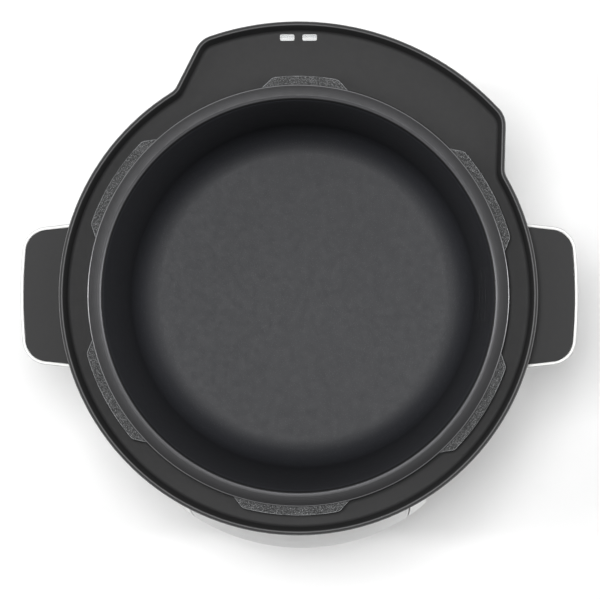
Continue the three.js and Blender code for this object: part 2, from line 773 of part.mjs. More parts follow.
add('panel_housing', panelHousing(), 'panelPlastic');
add('panel_fascia', panelFascia(), 'panelPlastic');
add('display_lens', displayLens(), 'lens');
add('display_module', block(-31, 31, -144.6, boardFrontY - gap, 107, 137), 'component');
add('control_board', controlBoard(), 'circuit');
for (const button of pushButtons) {
  const mesh = add(button.name, buttonShape(button), 'panelPlastic');
  mesh.position.set(0, panelAxisY, button.z);
  mesh.rotation.z = radians(button.angle);
}

add('power_board', block(-54, 54, 22, 94, boardBottom, boardBottom + 1.6), 'circuit');
add('power_relay', block(-12, 12, 32, 50, 21.9, 38), 'component');
add('power_transformer', block(-30, 2, 62, 88, 21.9, 46), 'component');
add('filter_capacitor', post(26, 76, 6, 21.9, 44), 'component');
add('ribbon_cable', ribbonCable(), 'component');
add('power_inlet', powerInlet(), 'component');
['live', 'earth', 'neutral'].forEach((name, i) => {
  const x = (i - 1) * 7;
  add(`inlet_pin_${name}`, block(x - 1, x + 1, 117.3, 129, inletCentreZ - 2, inletCentreZ + 2), 'steel');
});
add('condensation_cup', condensationCup(), 'clearPlastic');

export default cooker;
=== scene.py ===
"""The looks of an electric pressure cooker's base unit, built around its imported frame."""

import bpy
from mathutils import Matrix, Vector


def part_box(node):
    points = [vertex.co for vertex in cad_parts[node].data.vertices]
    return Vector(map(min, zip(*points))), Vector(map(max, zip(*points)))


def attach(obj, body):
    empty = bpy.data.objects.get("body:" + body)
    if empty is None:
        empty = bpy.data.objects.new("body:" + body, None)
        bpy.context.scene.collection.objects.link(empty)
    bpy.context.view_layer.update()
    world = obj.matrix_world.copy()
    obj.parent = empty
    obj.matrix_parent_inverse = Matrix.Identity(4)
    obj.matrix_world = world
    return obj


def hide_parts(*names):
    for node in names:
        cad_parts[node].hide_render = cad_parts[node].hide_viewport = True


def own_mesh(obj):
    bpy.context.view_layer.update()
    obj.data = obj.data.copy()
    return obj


bl_info = {
    "name": "Pressure Cooker Base",
    "version": (1, 0, 0),
    "blender": (4, 5, 0),
    "location": "View3D > Sidebar > Cooker",
    "description": "Builds the detailed pieces and finishes of a pressure cooker's base unit",
    "category": "Object",
}

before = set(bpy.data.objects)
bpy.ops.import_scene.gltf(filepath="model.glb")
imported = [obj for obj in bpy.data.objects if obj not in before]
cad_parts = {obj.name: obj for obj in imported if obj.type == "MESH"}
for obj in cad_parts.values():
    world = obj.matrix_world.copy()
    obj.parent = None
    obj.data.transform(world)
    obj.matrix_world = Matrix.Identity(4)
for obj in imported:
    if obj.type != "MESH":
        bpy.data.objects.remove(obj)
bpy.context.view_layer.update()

import math

import bmesh
import bpy
from bpy.props import FloatProperty, FloatVectorProperty, IntProperty, PointerProperty
from mathutils import Matrix, Vector

MM = 0.001
FULL = 2 * math.pi
REAR = math.pi / 2
ORIGIN = Vector((0, 0, 0))
SAME = 1e-6             # points closer than this are one
GAP = 0.3 * MM          # room left between two fitted pieces
OVERLAP = 1.0 * MM      # how far a tool, or a piece to be joined, reaches past a face
SHARP = 0.8             # turn of a surface, in radians, that makes a sharp edge

# The screws that hold a handle, on both sides of its middle
HANDLE_SCREW_Y = 25 * MM
HANDLE_SCREW_Z = 213 * MM


# ------------------------------------------------------------------ settings
def length(name, description, default):
    return FloatProperty(name=name, description=description, default=default, unit="LENGTH", precision=5)


def angle(name, description, degrees):
    return FloatProperty(name=name, description=description, default=math.radians(degrees), subtype="ANGLE")


def tint(name, description, *rgb):
    return FloatVectorProperty(name=name, description=description, default=rgb, subtype="COLOR", min=0, max=1)


class CookerRing(bpy.types.PropertyGroup):
    """Top ring with the lid's channel and the bulge at the rear."""
    radius: length("Radius", "Outer radius of the round part", 0.135)
    bulge_radius: length("Bulge radius", "Outer radius of the bulge, from the pot's axis", 0.1544)
    bulge_axis: angle("Bulge direction", "Direction of the bulge's middle, from the right-hand side", 75.8)
    side_distance: length("Side distance", "How far the bulge's sides pass from the pot's axis", 0.1145)
    side_angle: angle("Side angle", "Direction of a side's normal, from the bulge's middle", 77.2)
    corner: length("Corner radius", "Radius of the bulge's outer corners", 0.014)
    foot: length("Foot radius", "Radius where the bulge meets the round part", 0.009)
    lip: length("Lip width", "Width of the raised lip", 0.0021)
    draft: length("Lip draft", "How much the lip's inner wall leans in", 0.0011)
    channel: length("Channel depth", "Depth of the channel under the lip", 0.016)
    skirt: length("Skirt", "Height of the ring's outer side", 0.024)
    floor: length("Floor thickness", "Thickness of the channel's floor", 0.0025)
    bore: length("Bore", "Radius of the hole around the bowl", 0.1185)
    slot_length: length("Slot length", "Length of a drain slot", 0.00825)
    slot_width: length("Slot width", "Width of a drain slot", 0.0039)
    slot_spacing: length("Slot spacing", "Distance between the slots' middles", 0.0128)
    slot_reach: length("Slot reach", "Distance of the slots from the pot's axis", 0.1473)


class CookerLugs(bpy.types.PropertyGroup):
    """Ring of lugs that the lid turns under."""
    count: IntProperty(name="Lugs", description="Number of lugs around the ring", default=6, min=3, max=12)
    first: angle("First lug", "Direction of the rear lug", 88.1)
    half: angle("Half width", "Half of a lug's width at its root", 17)
    rear_half: angle("Rear half width", "Half of the rear lug's width at its root", 12.8)
    slant: angle("Slant", "How far a lug's ends lean in", 4.2)
    root: length("Root radius", "Radius between the lugs", 0.118)
    tip: length("Tip radius", "Radius over the lugs", 0.1243)
    inner: length("Inner radius", "Radius of the hole around the pot", 0.1125)
    collar: length("Collar radius", "Outer radius of the collar under the lugs", 0.117)


class CookerPot(bpy.types.PropertyGroup):
    """Inner pot."""
    inner: length("Inner radius", "Radius inside the wall", 0.110)
    wall: length("Wall", "Thickness of the wall", 0.002)
    floor: length("Floor", "Thickness of the floor", 0.003)
    rim: length("Rim thickness", "Thickness of the flat rim", 0.0025)
    crest: length("Crest", "Radius of the rim's highest line, from where it falls away both ways", 0.113)
    corner: length("Corner", "Radius between the wall and the floor, outside", 0.022)
    taper: length("Taper", "How much narrower the wall is at its foot", 0.0015)


class CookerBody(bpy.types.PropertyGroup):
    """Barrel-shaped outer shell and the base under it."""
    foot_radius: length("Foot radius", "Radius at the lower edge", 0.126)
    belly_radius: length("Belly radius", "Largest radius", 0.138)
    neck_radius: length("Neck radius", "Radius at the upper edge", 0.1305)
    belly_height: length("Belly height", "Height of the largest radius", 0.122)
    wall: length("Wall", "Thickness of the shell", 0.0022)


class CookerHandles(bpy.types.PropertyGroup):
    """Side handles."""
    tip: length("Reach", "Distance of a handle's end from the pot's axis", 0.1594)
    root_half: length("Root half width", "Half of the width at the root", 0.0423)
    end_half: length("End half width", "Half of the width at the end", 0.0395)
    corner: length("Corner", "Radius of the outer corners", 0.0145)
    rim: length("Rim", "Width of the light rim around the cap", 0.0015)
    wall: length("Wall", "Thickness around the finger recess", 0.0028)


class CookerPanel(bpy.types.PropertyGroup):
    """Front panel, turned about its own upright axis."""
    axis_y: length("Axis", "Place of the panel's upright axis in front of the pot's", -0.033)
    reach: length("Reach", "Largest distance of the face from the pot's axis", 0.1544)
    half: length("Half width", "Half of the face sheet's width", 0.0647)
    sheet: length("Sheet", "Thickness of the face sheet", 0.0024)
    seam: length("Seam", "How far the face sheet stays back from its pocket's sides", 0.0004)
    wall: length("Wall", "Thickness of the housing's front wall", 0.0025)
    cheek_angle: angle("Cheek", "Direction in which a cheek runs back from the face", 48)
    cheek: length("Cheek length", "Length of a cheek", 0.016)


class CookerColours(bpy.types.PropertyGroup):
    """Colours of the finishes, as linear values."""
    ring: tint("Ring plastic", "Dark plastic of the top ring and the base", 0.019, 0.019, 0.0195)
    handle: tint("Handle plastic", "Dark plastic of the handle caps", 0.031, 0.031, 0.0315)
    shell: tint("Shell plastic", "Light plastic of the body", 0.80, 0.80, 0.79)
    panel: tint("Panel face", "Light grey of the panel's face sheet", 0.70, 0.70, 0.70)
    key: tint("Keys", "Grey of the push buttons", 0.48, 0.48, 0.49)
    pot_rim: tint("Pot rim", "Grey of the pot's rim", 0.020, 0.020, 0.021)
    pot_coat: tint("Pot coating", "Coating inside the pot", 0.022, 0.023, 0.027)
    lugs: tint("Lugs", "Textured metal of the lugs", 0.050, 0.051, 0.052)
    floor: tint("Floor", "Pale studio floor", 0.88, 0.88, 0.88)


class CookerStage(bpy.types.PropertyGroup):
    """Camera and lights."""
    distance: length("Camera distance", "Height of the camera over the ring", 1.2)
    frame_width: length("Frame width", "Width of the picture at the ring", 0.3375)
    aside: length("Camera aside", "How far the camera stands to the right of what it looks at", 0.022)
    offset_x: length("Offset to the right", "Middle of the picture from the pot's axis", 0.0012)
    offset_y: length("Offset to the rear", "Middle of the picture from the pot's axis", -0.0022)


def settings(name):
    return getattr(bpy.context.scene, f"cooker_{name}")


# ------------------------------------------------------------------ drawing and shaping
def polar(radius, direction, z=0.0):
    return Vector((radius * math.cos(direction), radius * math.sin(direction), z))


def object_mode():
    if bpy.context.mode != "OBJECT":
        bpy.ops.object.mode_set(mode="OBJECT")
    bpy.ops.object.select_all(action="DESELECT")


def edit(piece, kind="FACE"):
    object_mode()
    bpy.context.view_layer.objects.active = piece
    piece.select_set(True)
    bpy.ops.object.mode_set(mode="EDIT")
    bpy.ops.mesh.select_mode(type=kind)
    bpy.ops.mesh.select_all(action="DESELECT")


def choose(kind, test):
    """Selects in edit mode the vertices, edges or faces that pass a test."""
    bpy.ops.mesh.select_mode(type=kind)
    bpy.ops.mesh.select_all(action="DESELECT")
    mesh = bmesh.from_edit_mesh(bpy.context.object.data)
    elements = {"VERT": mesh.verts, "EDGE": mesh.edges, "FACE": mesh.faces}[kind]
    for element in elements:
        if test(element):
            element.select_set(True)
    mesh.select_flush_mode()
    bmesh.update_edit_mesh(bpy.context.object.data)


def choose_all():
    bpy.ops.mesh.select_all(action="SELECT")


def near_z(z, tolerance=0.02 * MM):
    """Passes what lies at a height."""
    return lambda element: all(abs(v.co.z - z) < tolerance for v in element.verts)


def sharp_at(z):
    """Passes the sharp edges at a height."""
    level = near_z(z)
    return lambda edge: level(edge) and edge.is_manifold and abs(edge.calc_face_angle(0)) > SHARP


def ends(low, high):
    """Passes the edges round the bottom and the top of an upright block."""
    return lambda edge: near_z(low)(edge) or near_z(high)(edge)


def runs_along(axis):
    """Passes the edges that run along an axis."""
    index = "xyz".index(axis)
    return lambda edge: abs((edge.verts[0].co - edge.verts[1].co).normalized()[index]) > 0.99


def begin(name, point):
    """A new piece that holds one vertex, ready to be drawn on."""
    object_mode()
    bpy.ops.mesh.primitive_plane_add(size=MM, location=(0, 0, 0))
    piece = bpy.context.object
    piece.name = name
    edit(piece, "VERT")
    choose_all()
    bpy.ops.mesh.merge(type="CENTER")
    bpy.ops.transform.translate(value=point)
    return piece


def pen():
    """Where the pen stands: the one selected vertex."""
    mesh = bmesh.from_edit_mesh(bpy.context.object.data)
    return next(v.co.copy() for v in mesh.verts if v.select)


def line(point):
    """Draws a straight line to a point."""
    bpy.ops.mesh.extrude_vertices_move(TRANSFORM_OT_translate={"value": Vector(point) - pen()})


def arc(centre, sweep, steps):
    """Draws on around an upright axis, counterclockwise where the sweep is positive."""
    bpy.ops.mesh.spin(steps=steps, angle=-sweep, center=centre, axis=(0, 0, 1), use_auto_merge=False)


def merge_doubles():
    choose_all()
    bpy.ops.mesh.remove_doubles(threshold=SAME)


def face_outwards():
    choose_all()
    bpy.ops.mesh.normals_make_consistent(inside=False)


def round_corner(place, radius):
    """Rounds the drawn corner that stands at a place."""
    choose("VERT", lambda vertex: (vertex.co - place).length < SAME)
    bpy.ops.mesh.bevel(offset=radius, segments=4, affect="VERTICES")


def fill():
    """Closes the drawn outline and fills it with one face that looks up."""
    merge_doubles()
    choose_all()
    bpy.ops.mesh.edge_face_add()
    bpy.ops.mesh.select_mode(type="FACE")
    choose_all()
    if bmesh.from_edit_mesh(bpy.context.object.data).faces[:][0].normal.z < 0:
        bpy.ops.mesh.flip_normals()


def extrude(offset):
    bpy.ops.mesh.extrude_region_move(TRANSFORM_OT_translate={"value": Vector(offset)})


def inset(thickness, depth=0.0):
    bpy.ops.mesh.inset(thickness=thickness, depth=depth)


def bevel(width, segments=3):
    bpy.ops.mesh.bevel(offset=width, segments=segments, affect="EDGES", clamp_overlap=True)


def prism(name, low, high):
    """Turns the outline under the pen into an upright block."""
    fill()
    bpy.ops.transform.translate(value=(0, 0, low - pen().z))
    extrude((0, 0, high - low))
    face_outwards()
    return bpy.context.object


def section(name, points, about=ORIGIN, facing=0.0):
    """Draws a section beside an upright axis.

    Its corners are (radius, height) or (radius, height, rounding). A section that starts
    and ends on the axis stays open there.
    """
    outwards = polar(1, facing)
    places = [about + outwards * p[0] + Vector((0, 0, p[1])) for p in points]
    begin(name, places[0])
    for place in places[1:]:
        line(place)
    if points[0][0] > 0 or points[-1][0] > 0:
        line(places[0])
        merge_doubles()
    for place, corner in zip(places, points):
        if len(corner) > 2:
            round_corner(place, corner[2])
    return bpy.context.object


def turned(name, points, steps=160, about=ORIGIN, facing=0.0, span=FULL):
    """A piece turned on a lathe from its section."""
    piece = section(name, points, about, facing)
    choose_all()
    bpy.ops.mesh.spin(steps=steps, angle=-span, center=about, axis=(0, 0, 1),
                      use_auto_merge=span == FULL)
    merge_doubles()
    bpy.ops.mesh.delete_loose(use_faces=False)
    choose_all()
    if span < FULL:
        bpy.ops.mesh.fill_holes(sides=0)
    face_outwards()
    return piece


def disc(name, radius, low, high, steps=128):
    return turned(name, [(0, low), (radius, low), (radius, high), (0, high)], steps)


def block(name, low, high):
    """A block between two corners, drawn as an outline and extruded."""
    begin(name, (low[0], low[1], low[2]))
    line((high[0], low[1], low[2]))
    line((high[0], high[1], low[2]))
    line((low[0], high[1], low[2]))
    return prism(name, low[2], high[2])


def rounded_block(name, low, high, radius, along="y", steps=5):
    """A block whose edges that run along one axis are rounded."""
    piece = block(name, low, high)
    if radius:
        choose("EDGE", runs_along(along))
        bevel(radius, steps)
    return piece


def rod(name, start, end, radius, steps=24):
    """A round bar between two points."""
    axis = Vector(end) - Vector(start)
    object_mode()
    bpy.ops.mesh.primitive_circle_add(vertices=steps, radius=radius, fill_type="NGON", location=(0, 0, 0))
    piece = bpy.context.object
    piece.name = name
    edit(piece)
    choose_all()
    extrude((0, 0, axis.length))
    object_mode()
    turn = axis.to_track_quat("Z", "Y").to_matrix().to_4x4()
    piece.data.transform(Matrix.Translation(Vector(start)) @ turn)
    edit(piece)
    face_outwards()
    return piece


def upright_rod(name, place, low, high, radius, steps=24):
    return rod(name, (place.x, place.y, low), (place.x, place.y, high), radius, steps)


def screw_rods(name, start, end, radius, steps=24):
    """Bars along both screws of a handle."""
    return [rod(name, (start, y, HANDLE_SCREW_Z), (end, y, HANDLE_SCREW_Z), radius, steps)
            for y in (-HANDLE_SCREW_Y, HANDLE_SCREW_Y)]


def use_modifier(piece, kind, **values):
    """Adds a modifier, sets it and applies it."""
    object_mode()
    bpy.context.view_layer.objects.active = piece
    piece.select_set(True)
    bpy.ops.object.modifier_add(type=kind)
    modifier = piece.modifiers[-1]
    for key, value in values.items():
        setattr(modifier, key, value)
    bpy.ops.object.modifier_apply(modifier=modifier.name)


def combine(piece, *tools, operation="DIFFERENCE"):
    """Cuts the tools out of a piece, or joins or keeps what they share with it."""
    for tool in tools:
        use_modifier(piece, "BOOLEAN", operation=operation, solver="EXACT", object=tool)
        bpy.data.objects.remove(tool)


def soften(piece, width, segments, limit):
    """Rounds every edge of a piece that turns by more than a limit in degrees."""
    use_modifier(piece, "BEVEL", width=width, segments=segments, limit_method="ANGLE",
                 angle_limit=math.radians(limit), harden_normals=False)


def done(piece, material, body, node, smooth=40):
    """Shades a finished piece, gives it its finish and fastens it to its body."""
    object_mode()
    bpy.context.view_layer.objects.active = piece
    piece.select_set(True)
    bpy.ops.object.transform_apply(location=True, rotation=True, scale=True)
    bpy.ops.object.shade_smooth_by_angle(angle=math.radians(smooth))
    piece.data.materials.clear()
    piece.data.materials.append(material)
    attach(piece, body)
    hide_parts(node)


# ------------------------------------------------------------------ shader maths
class Number:
    """A value in a material, so that its maths reads as an expression."""

    def __init__(self, paint, socket):
        self.paint = paint
        self.socket = socket

    def __add__(self, other):
        return self.paint.maths("ADD", self, other)

    __radd__ = __add__

    def __sub__(self, other):
        return self.paint.maths("SUBTRACT", self, other)

    def __rsub__(self, other):
        return self.paint.maths("SUBTRACT", other, self)

    def __mul__(self, other):
        return self.paint.maths("MULTIPLY", self, other)

    __rmul__ = __mul__

    def __gt__(self, other):
        return self.paint.maths("GREATER_THAN", self, other)

    def __lt__(self, other):
        return self.paint.maths("LESS_THAN", self, other)


class Nodes:
    """A node tree under construction."""

    def __init__(self, tree):
        self.tree = tree

    def node(self, kind, settings=None, **inputs):
        """Adds a node. An input is named as its socket is, or i0, i1 and so on by its number."""
        made = self.tree.nodes.new(kind)
        for key, value in (settings or {}).items():
            if key == "stops":
                self.set_stops(made.color_ramp, value)
            else:
                setattr(made, key, value)
        for key, value in inputs.items():
            socket = int(key[1:]) if key[1:].isdigit() else key.replace("_", " ")
            self.feed(made.inputs[socket], value)
        return made

    def set_stops(self, ramp, stops):
        while len(ramp.elements) < len(stops):
            ramp.elements.new(0.5)
        for element, (place, value) in zip(ramp.elements, stops):
            element.position = place
            element.color = (value, value, value, 1)

    def feed(self, socket, value):
        if isinstance(value, Number):
            value = value.socket
        if isinstance(value, bpy.types.NodeSocket):
            self.tree.links.new(value, socket)
        elif socket.type == "RGBA" and len(value) == 3:
            socket.default_value = (*value, 1)
        else:
            socket.default_value = value


class Paint(Nodes):
    """A material under construction, around one Principled surface."""

    def __init__(self, name, **constants):
        self.material = bpy.data.materials.new(name)
        self.material.use_nodes = True
        super().__init__(self.material.node_tree)
        self.surface = self.tree.nodes["Principled BSDF"]
        for socket, value in constants.items():
            self.surface.inputs[socket.replace("_", " ")].default_value = value

    def maths(self, operation, a, b=0.0):
        made = self.node("ShaderNodeMath", {"operation": operation}, i0=a, i1=b)
        return Number(self, made.outputs[0])

    def place(self):
        return self.node("ShaderNodeTexCoord").outputs["Object"]

    def split(self, vector):
        made = self.node("ShaderNodeSeparateXYZ", None, Vector=vector)
        return [Number(self, socket) for socket in made.outputs]

    def noise(self, scale, detail=3.0, roughness=0.5, vector=None):
        made = self.node("ShaderNodeTexNoise", None, Vector=vector or self.place(), Scale=scale,
                         Detail=detail, Roughness=roughness)
        return Number(self, made.outputs["Fac"])

    def cells(self, scale, feature="F1"):
        made = self.node("ShaderNodeTexVoronoi", {"feature": feature}, Vector=self.place(), Scale=scale)
        return Number(self, made.outputs["Distance"])

    def ramp(self, value, *stops):
        made = self.node("ShaderNodeValToRGB", {"stops": stops}, Fac=value)
        return Number(self, made.outputs["Color"])

    def blend(self, factor, a, b):
        made = self.node("ShaderNodeMix", {"data_type": "RGBA"}, i0=factor, i6=a, i7=b)
        return made.outputs[2]

    def shade(self, colour, amount):
        """A colour made lighter and darker by an amount around 1."""
        made = self.node("ShaderNodeVectorMath", {"operation": "SCALE"}, i0=colour, Scale=amount)
        return made.outputs[0]

    def drive(self, **sockets):
        for socket, value in sockets.items():
            self.feed(self.surface.inputs[socket.replace("_", " ")], value)
        return self

    def bump(self, height, depth, strength=1.0):
        made = self.node("ShaderNodeBump", None, Height=height, Distance=depth, Strength=strength)
        return self.drive(Normal=made.outputs["Normal"])

    def edge(self, level, steep):
        """Where a surface that looks up turns over an edge, from its own normals."""
        normal = self.node("ShaderNodeTexCoord").outputs["Normal"]
        up = self.split(normal)[2]
        return self.ramp(up, (steep - 0.35, 0.0), (steep, 1.0), (level - 0.04, 1.0), (level, 0.0))

    def radius(self, about=ORIGIN):
        """Distance from an upright axis."""
        x, y, _ = self.split(self.place())
        if about.y:
            y = y - about.y
        return self.maths("SQRT", x * x + y * y)


# ------------------------------------------------------------------ finishes
FINISHES = {}


def finish(make):
    """Makes a finish once and keeps it for every piece that wears it."""
    def cached():
        name = make.__name__
        if name not in FINISHES:
            FINISHES[name] = make().material
        return FINISHES[name]
    return cached


def moulded(name, colour, roughness, grain, depth, variation=0.06, gloss=0.5, edge_highlight_colour=None,
            highlight_above=0.0):
    """Moulded plastic: a fine grain from the tool, faint flow clouds and a slightly uneven sheen. Where an
    edge highlight colour is given, the turned-over edges above a height get it as a painted highlight, and
    are made smoother.
    """
    paint = Paint(name, IOR=1.49, Specular_IOR_Level=gloss)
    cloud = paint.noise(18, 4)
    fine = paint.noise(grain, 2, 0.6)
    shaded = paint.shade(tuple(colour), 1 - variation + variation * (cloud + fine))
    rough = roughness - 0.06 + 0.12 * paint.noise(grain / 6, 3)
    if edge_highlight_colour:
        # Painted highlight: a lighter colour on the turned-over edges above a height
        painted_highlight = paint.edge(0.97, 0.4) * (paint.split(paint.place())[2] > highlight_above)
        shaded = paint.blend(painted_highlight, shaded, edge_highlight_colour)
        rough = rough - 0.3 * painted_highlight
    paint.drive(Base_Color=shaded, Roughness=rough)
    return paint.bump(fine, depth)


@finish
def ring_plastic():
    # The light edge colour is a painted highlight along the lip's top edges
    return moulded("ring_plastic", settings("colours").ring, 0.68, 2600, 0.06 * MM, gloss=0.3,
                   edge_highlight_colour=(0.11, 0.11, 0.112), highlight_above=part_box("top_ring")[1].z - 2 * MM)


@finish
def handle_plastic():
    return moulded("handle_plastic", settings("colours").handle, 0.78, 2600, 0.05 * MM, gloss=0.28)


@finish
def shell_plastic():
    return moulded("shell_plastic", settings("colours").shell, 0.3, 900, 0.01 * MM, 0.02)


@finish
def handle_shell_plastic():
    """The body's light plastic, with painted shade in grey along its turned edges."""
    paint = Paint("handle_shell_plastic", IOR=1.49, Specular_IOR_Level=0.3)
    fine = paint.noise(900, 2, 0.6)
    shaded = paint.shade(tuple(settings("colours").shell), 0.98 + 0.02 * fine)
    # The grey on the turned edges is painted shade
    paint.drive(Base_Color=paint.blend(paint.edge(0.9, 0.35) * 0.8, shaded, (0.3, 0.3, 0.3)),
                Roughness=0.3 + 0.1 * paint.noise(150, 3))
    return paint.bump(fine, 0.01 * MM)


@finish
def panel_plastic():
    return moulded("panel_plastic", settings("colours").panel, 0.38, 3000, 0.02 * MM, 0.03)


@finish
def key_plastic():
    """Grey moulded plastic, with dark paint laid into the engraved signs."""
    paint = Paint("key_plastic", IOR=1.49)
    reach = paint.radius(panel_axis())
    face = face_radius() + KEY_PROUD
    sunk = (reach < face - 0.6 * SIGN_DEPTH) * (reach > face - 1.6 * SIGN_DEPTH)
    grain = paint.noise(3000, 2, 0.6)
    grey = paint.shade(tuple(settings("colours").key), 0.96 + 0.04 * grain)
    paint.drive(Base_Color=paint.blend(sunk, grey, (0.02, 0.02, 0.02)),
                Roughness=0.38 + 0.12 * paint.noise(500, 3) + 0.2 * sunk)
    return paint.bump(grain, 0.03 * MM)


@finish
def component_plastic():
    return moulded("component_plastic", (0.03, 0.03, 0.032), 0.5, 2000, 0.04 * MM)


@finish
def rubber():
    return moulded("rubber", (0.025, 0.025, 0.026), 0.8, 1500, 0.08 * MM, 0.2)


@finish
def lug_steel():
    """Coarse textured coating: light and dark grains under a dull clear coat, with painted sparkle in bright
    dots, and lighter edges that are partly wear and partly painted highlight.
    """
    paint = Paint("lug_steel", Metallic=0.3)
    sand = paint.noise(1500, 3, 0.75)
    dents = paint.ramp(paint.cells(1150), (0.25, 0.0), (0.6, 1.0))
    # Bright dots: painted sparkle on the coating
    painted_sparkle = paint.ramp(paint.cells(1500), (0.18, 1.0), (0.32, 0.0))
    speckled = paint.shade(tuple(settings("colours").lugs), 0.1 + 0.9 * sand + 0.8 * dents)
    speckled = paint.blend(painted_sparkle * 0.7, speckled, (0.38, 0.385, 0.39))
    # Lighter edges: partly wear of the coating, partly painted highlight
    wear_and_highlight = paint.edge(0.97, 0.6)
    paint.drive(Base_Color=paint.blend(wear_and_highlight * (0.3 + 0.7 * sand), speckled, (0.42, 0.43, 0.44)),
                Roughness=0.55 + 0.25 * sand - 0.2 * wear_and_highlight)
    return paint.bump(dents + sand, 0.3 * MM)


@finish
def pot_coating():
    """Non-stick coat with fine mineral specks inside, and a smoother grey rim whose lighter edges are partly
    wear of the coat and partly painted highlight.
    """
    pot = settings("pot")
    colours = settings("colours")
    outer_edge = pot.crest + 2.5 * MM
    turning_pitch = 0.9 * MM
    paint = Paint("pot_coating", Specular_IOR_Level=0.35)
    radius = paint.radius()
    on_rim = radius > pot.inner + 0.45 * MM
    specks = paint.ramp(paint.cells(1100), (0.10, 1.0), (0.2, 0.0))
    cloud = 0.92 + 0.16 * paint.noise(60, 4)
    coat = paint.blend(specks * 0.35, paint.shade(tuple(colours.pot_coat), cloud), (0.16, 0.16, 0.17))
    # Lighter rim edges: partly wear of the coat down to metal, partly painted highlight
    wear_and_highlight = paint.edge(0.98, 0.6) * (radius > pot.inner + 1.5 * MM)
    metal_and_highlight = paint.blend(radius > outer_edge, (0.10, 0.10, 0.105), (0.32, 0.32, 0.33))
    rim = paint.blend(wear_and_highlight, paint.shade(tuple(colours.pot_rim), cloud), metal_and_highlight)
    paint.drive(Base_Color=paint.blend(on_rim, coat, rim), Metallic=0.7 * on_rim,
                Roughness=0.5 + 0.12 * paint.noise(300, 3) - 0.1 * on_rim - 0.14 * wear_and_highlight)
    rings = paint.maths("SINE", radius * (FULL / turning_pitch))
    return paint.bump(0.4 * rings + paint.noise(2400, 2), 0.012 * MM)


def spun_metal(name, colour, roughness, pitch):
    """Metal finished on a lathe: fine rings around the pot's axis, at a pitch."""
    paint = Paint(name, Metallic=1.0)
    radius = paint.radius()
    z = paint.split(paint.place())[2]
    rings = paint.node("ShaderNodeCombineXYZ", None, X=radius, Z=z).outputs[0]
    fine = paint.noise(1 / pitch, 2, 0.7, rings)
    paint.drive(Base_Color=paint.shade(colour, 0.88 + 0.2 * fine),
                Roughness=roughness + 0.16 * fine)
    return paint.bump(fine, 0.02 * MM)


@finish
def steel():
    return spun_metal("steel", (0.56, 0.57, 0.58), 0.22, 0.4 * MM)


@finish
def cast_aluminium():
    return spun_metal("cast_aluminium", (0.62, 0.63, 0.64), 0.34, 0.8 * MM)


@finish
def screw_steel():
    paint = Paint("screw_steel", Metallic=1.0)
    scratches = paint.noise(700, 4, 0.7)
    paint.drive(Base_Color=paint.shade((0.5, 0.5, 0.51), 0.85 + 0.3 * scratches),
                Roughness=0.25 + 0.2 * scratches)
    return paint.bump(scratches, 0.02 * MM)


@finish
def dark_lens():
    """Smoked display window with faint dust and wipe marks in its gloss."""
    paint = Paint("dark_lens", Coat_Weight=0.6, Coat_Roughness=0.03)
    wipes = paint.noise(40, 5, 0.7)
    return paint.drive(Base_Color=paint.shade((0.012, 0.013, 0.015), 0.8 + 0.4 * wipes),
                       Roughness=0.06 + 0.08 * wipes)


@finish
def clear_plastic():
    """Clear moulded cup, slightly frosted by use."""
    paint = Paint("clear_plastic", IOR=1.49)
    haze = paint.noise(45, 3)
    paint.drive(Base_Color=paint.shade((0.86, 0.89, 0.91), 0.95 + 0.1 * haze),
                Alpha=0.2 + 0.06 * haze, Roughness=0.12 + 0.06 * haze)
    return paint.bump(haze, 0.01 * MM)


@finish
def circuit_board():
    """Green board: brighter traces between darker gaps, with solder dots."""
    paint = Paint("circuit_board")
    traces = paint.ramp(paint.cells(260, "DISTANCE_TO_EDGE"), (0.04, 1.0), (0.07, 0.0))
    solder = paint.ramp(paint.cells(330), (0.16, 1.0), (0.2, 0.0))
    green = paint.blend(traces, (0.012, 0.11, 0.05), (0.03, 0.2, 0.09))
    paint.drive(Base_Color=paint.blend(solder, green, (0.55, 0.56, 0.55)), Metallic=solder * 0.9,
                Roughness=0.42 - 0.12 * traces)
    return paint.bump(traces + solder, 0.06 * MM)


@finish
def lead_cover():
    """Heat-proof woven sleeving on the heater's leads."""
    paint = Paint("lead_cover")
    weave = paint.node("ShaderNodeTexWave", {"bands_direction": "DIAGONAL"}, Vector=paint.place(),
                       Scale=900.0, Distortion=0.6)
    braid = Number(paint, weave.outputs["Fac"])
    paint.drive(Base_Color=paint.blend(braid, (0.42, 0.05, 0.03), (0.62, 0.12, 0.07)),
                Roughness=0.7 + 0.15 * braid)
    return paint.bump(braid, 0.1 * MM)


@finish
def pale_floor():
    paint = Paint("pale_floor", Roughness=0.9, Specular_IOR_Level=0.1)
    patchy = 0.995 + 0.01 * paint.noise(40, 2)
    return paint.drive(Base_Color=paint.shade(tuple(settings("colours").floor), patchy))


# ------------------------------------------------------------------ top ring
def ring_outline(name):
    """Draws the ring's outline at its outer edge, counterclockwise from the bulge's left foot."""
    ring = settings("ring")
    corner_reach = ring.bulge_radius - ring.corner
    foot_reach = ring.radius + ring.foot
    corner_turn = ring.side_angle - math.acos((ring.side_distance - ring.corner) / corner_reach)
    foot_turn = ring.side_angle - math.acos((ring.side_distance + ring.foot) / foot_reach)
    axis = ring.bulge_axis
    opening = ring.side_angle - corner_turn
    closing = ring.side_angle - foot_turn
    right_corner = polar(corner_reach, axis - corner_turn)
    left_corner = polar(corner_reach, axis + corner_turn)
    left_foot = polar(foot_reach, axis + foot_turn)
    right_foot = polar(foot_reach, axis - foot_turn)
    begin(name, polar(ring.radius, axis + foot_turn))
    arc(ORIGIN, FULL - 2 * foot_turn, 110)
    arc(right_foot, -closing, 10)
    line(right_corner + polar(ring.corner, axis - ring.side_angle))
    arc(right_corner, opening, 10)
    arc(ORIGIN, 2 * corner_turn, 32)
    arc(left_corner, opening, 10)
    line(left_foot - polar(ring.foot, axis + ring.side_angle))
    arc(left_foot, -closing, 10)
    fill()


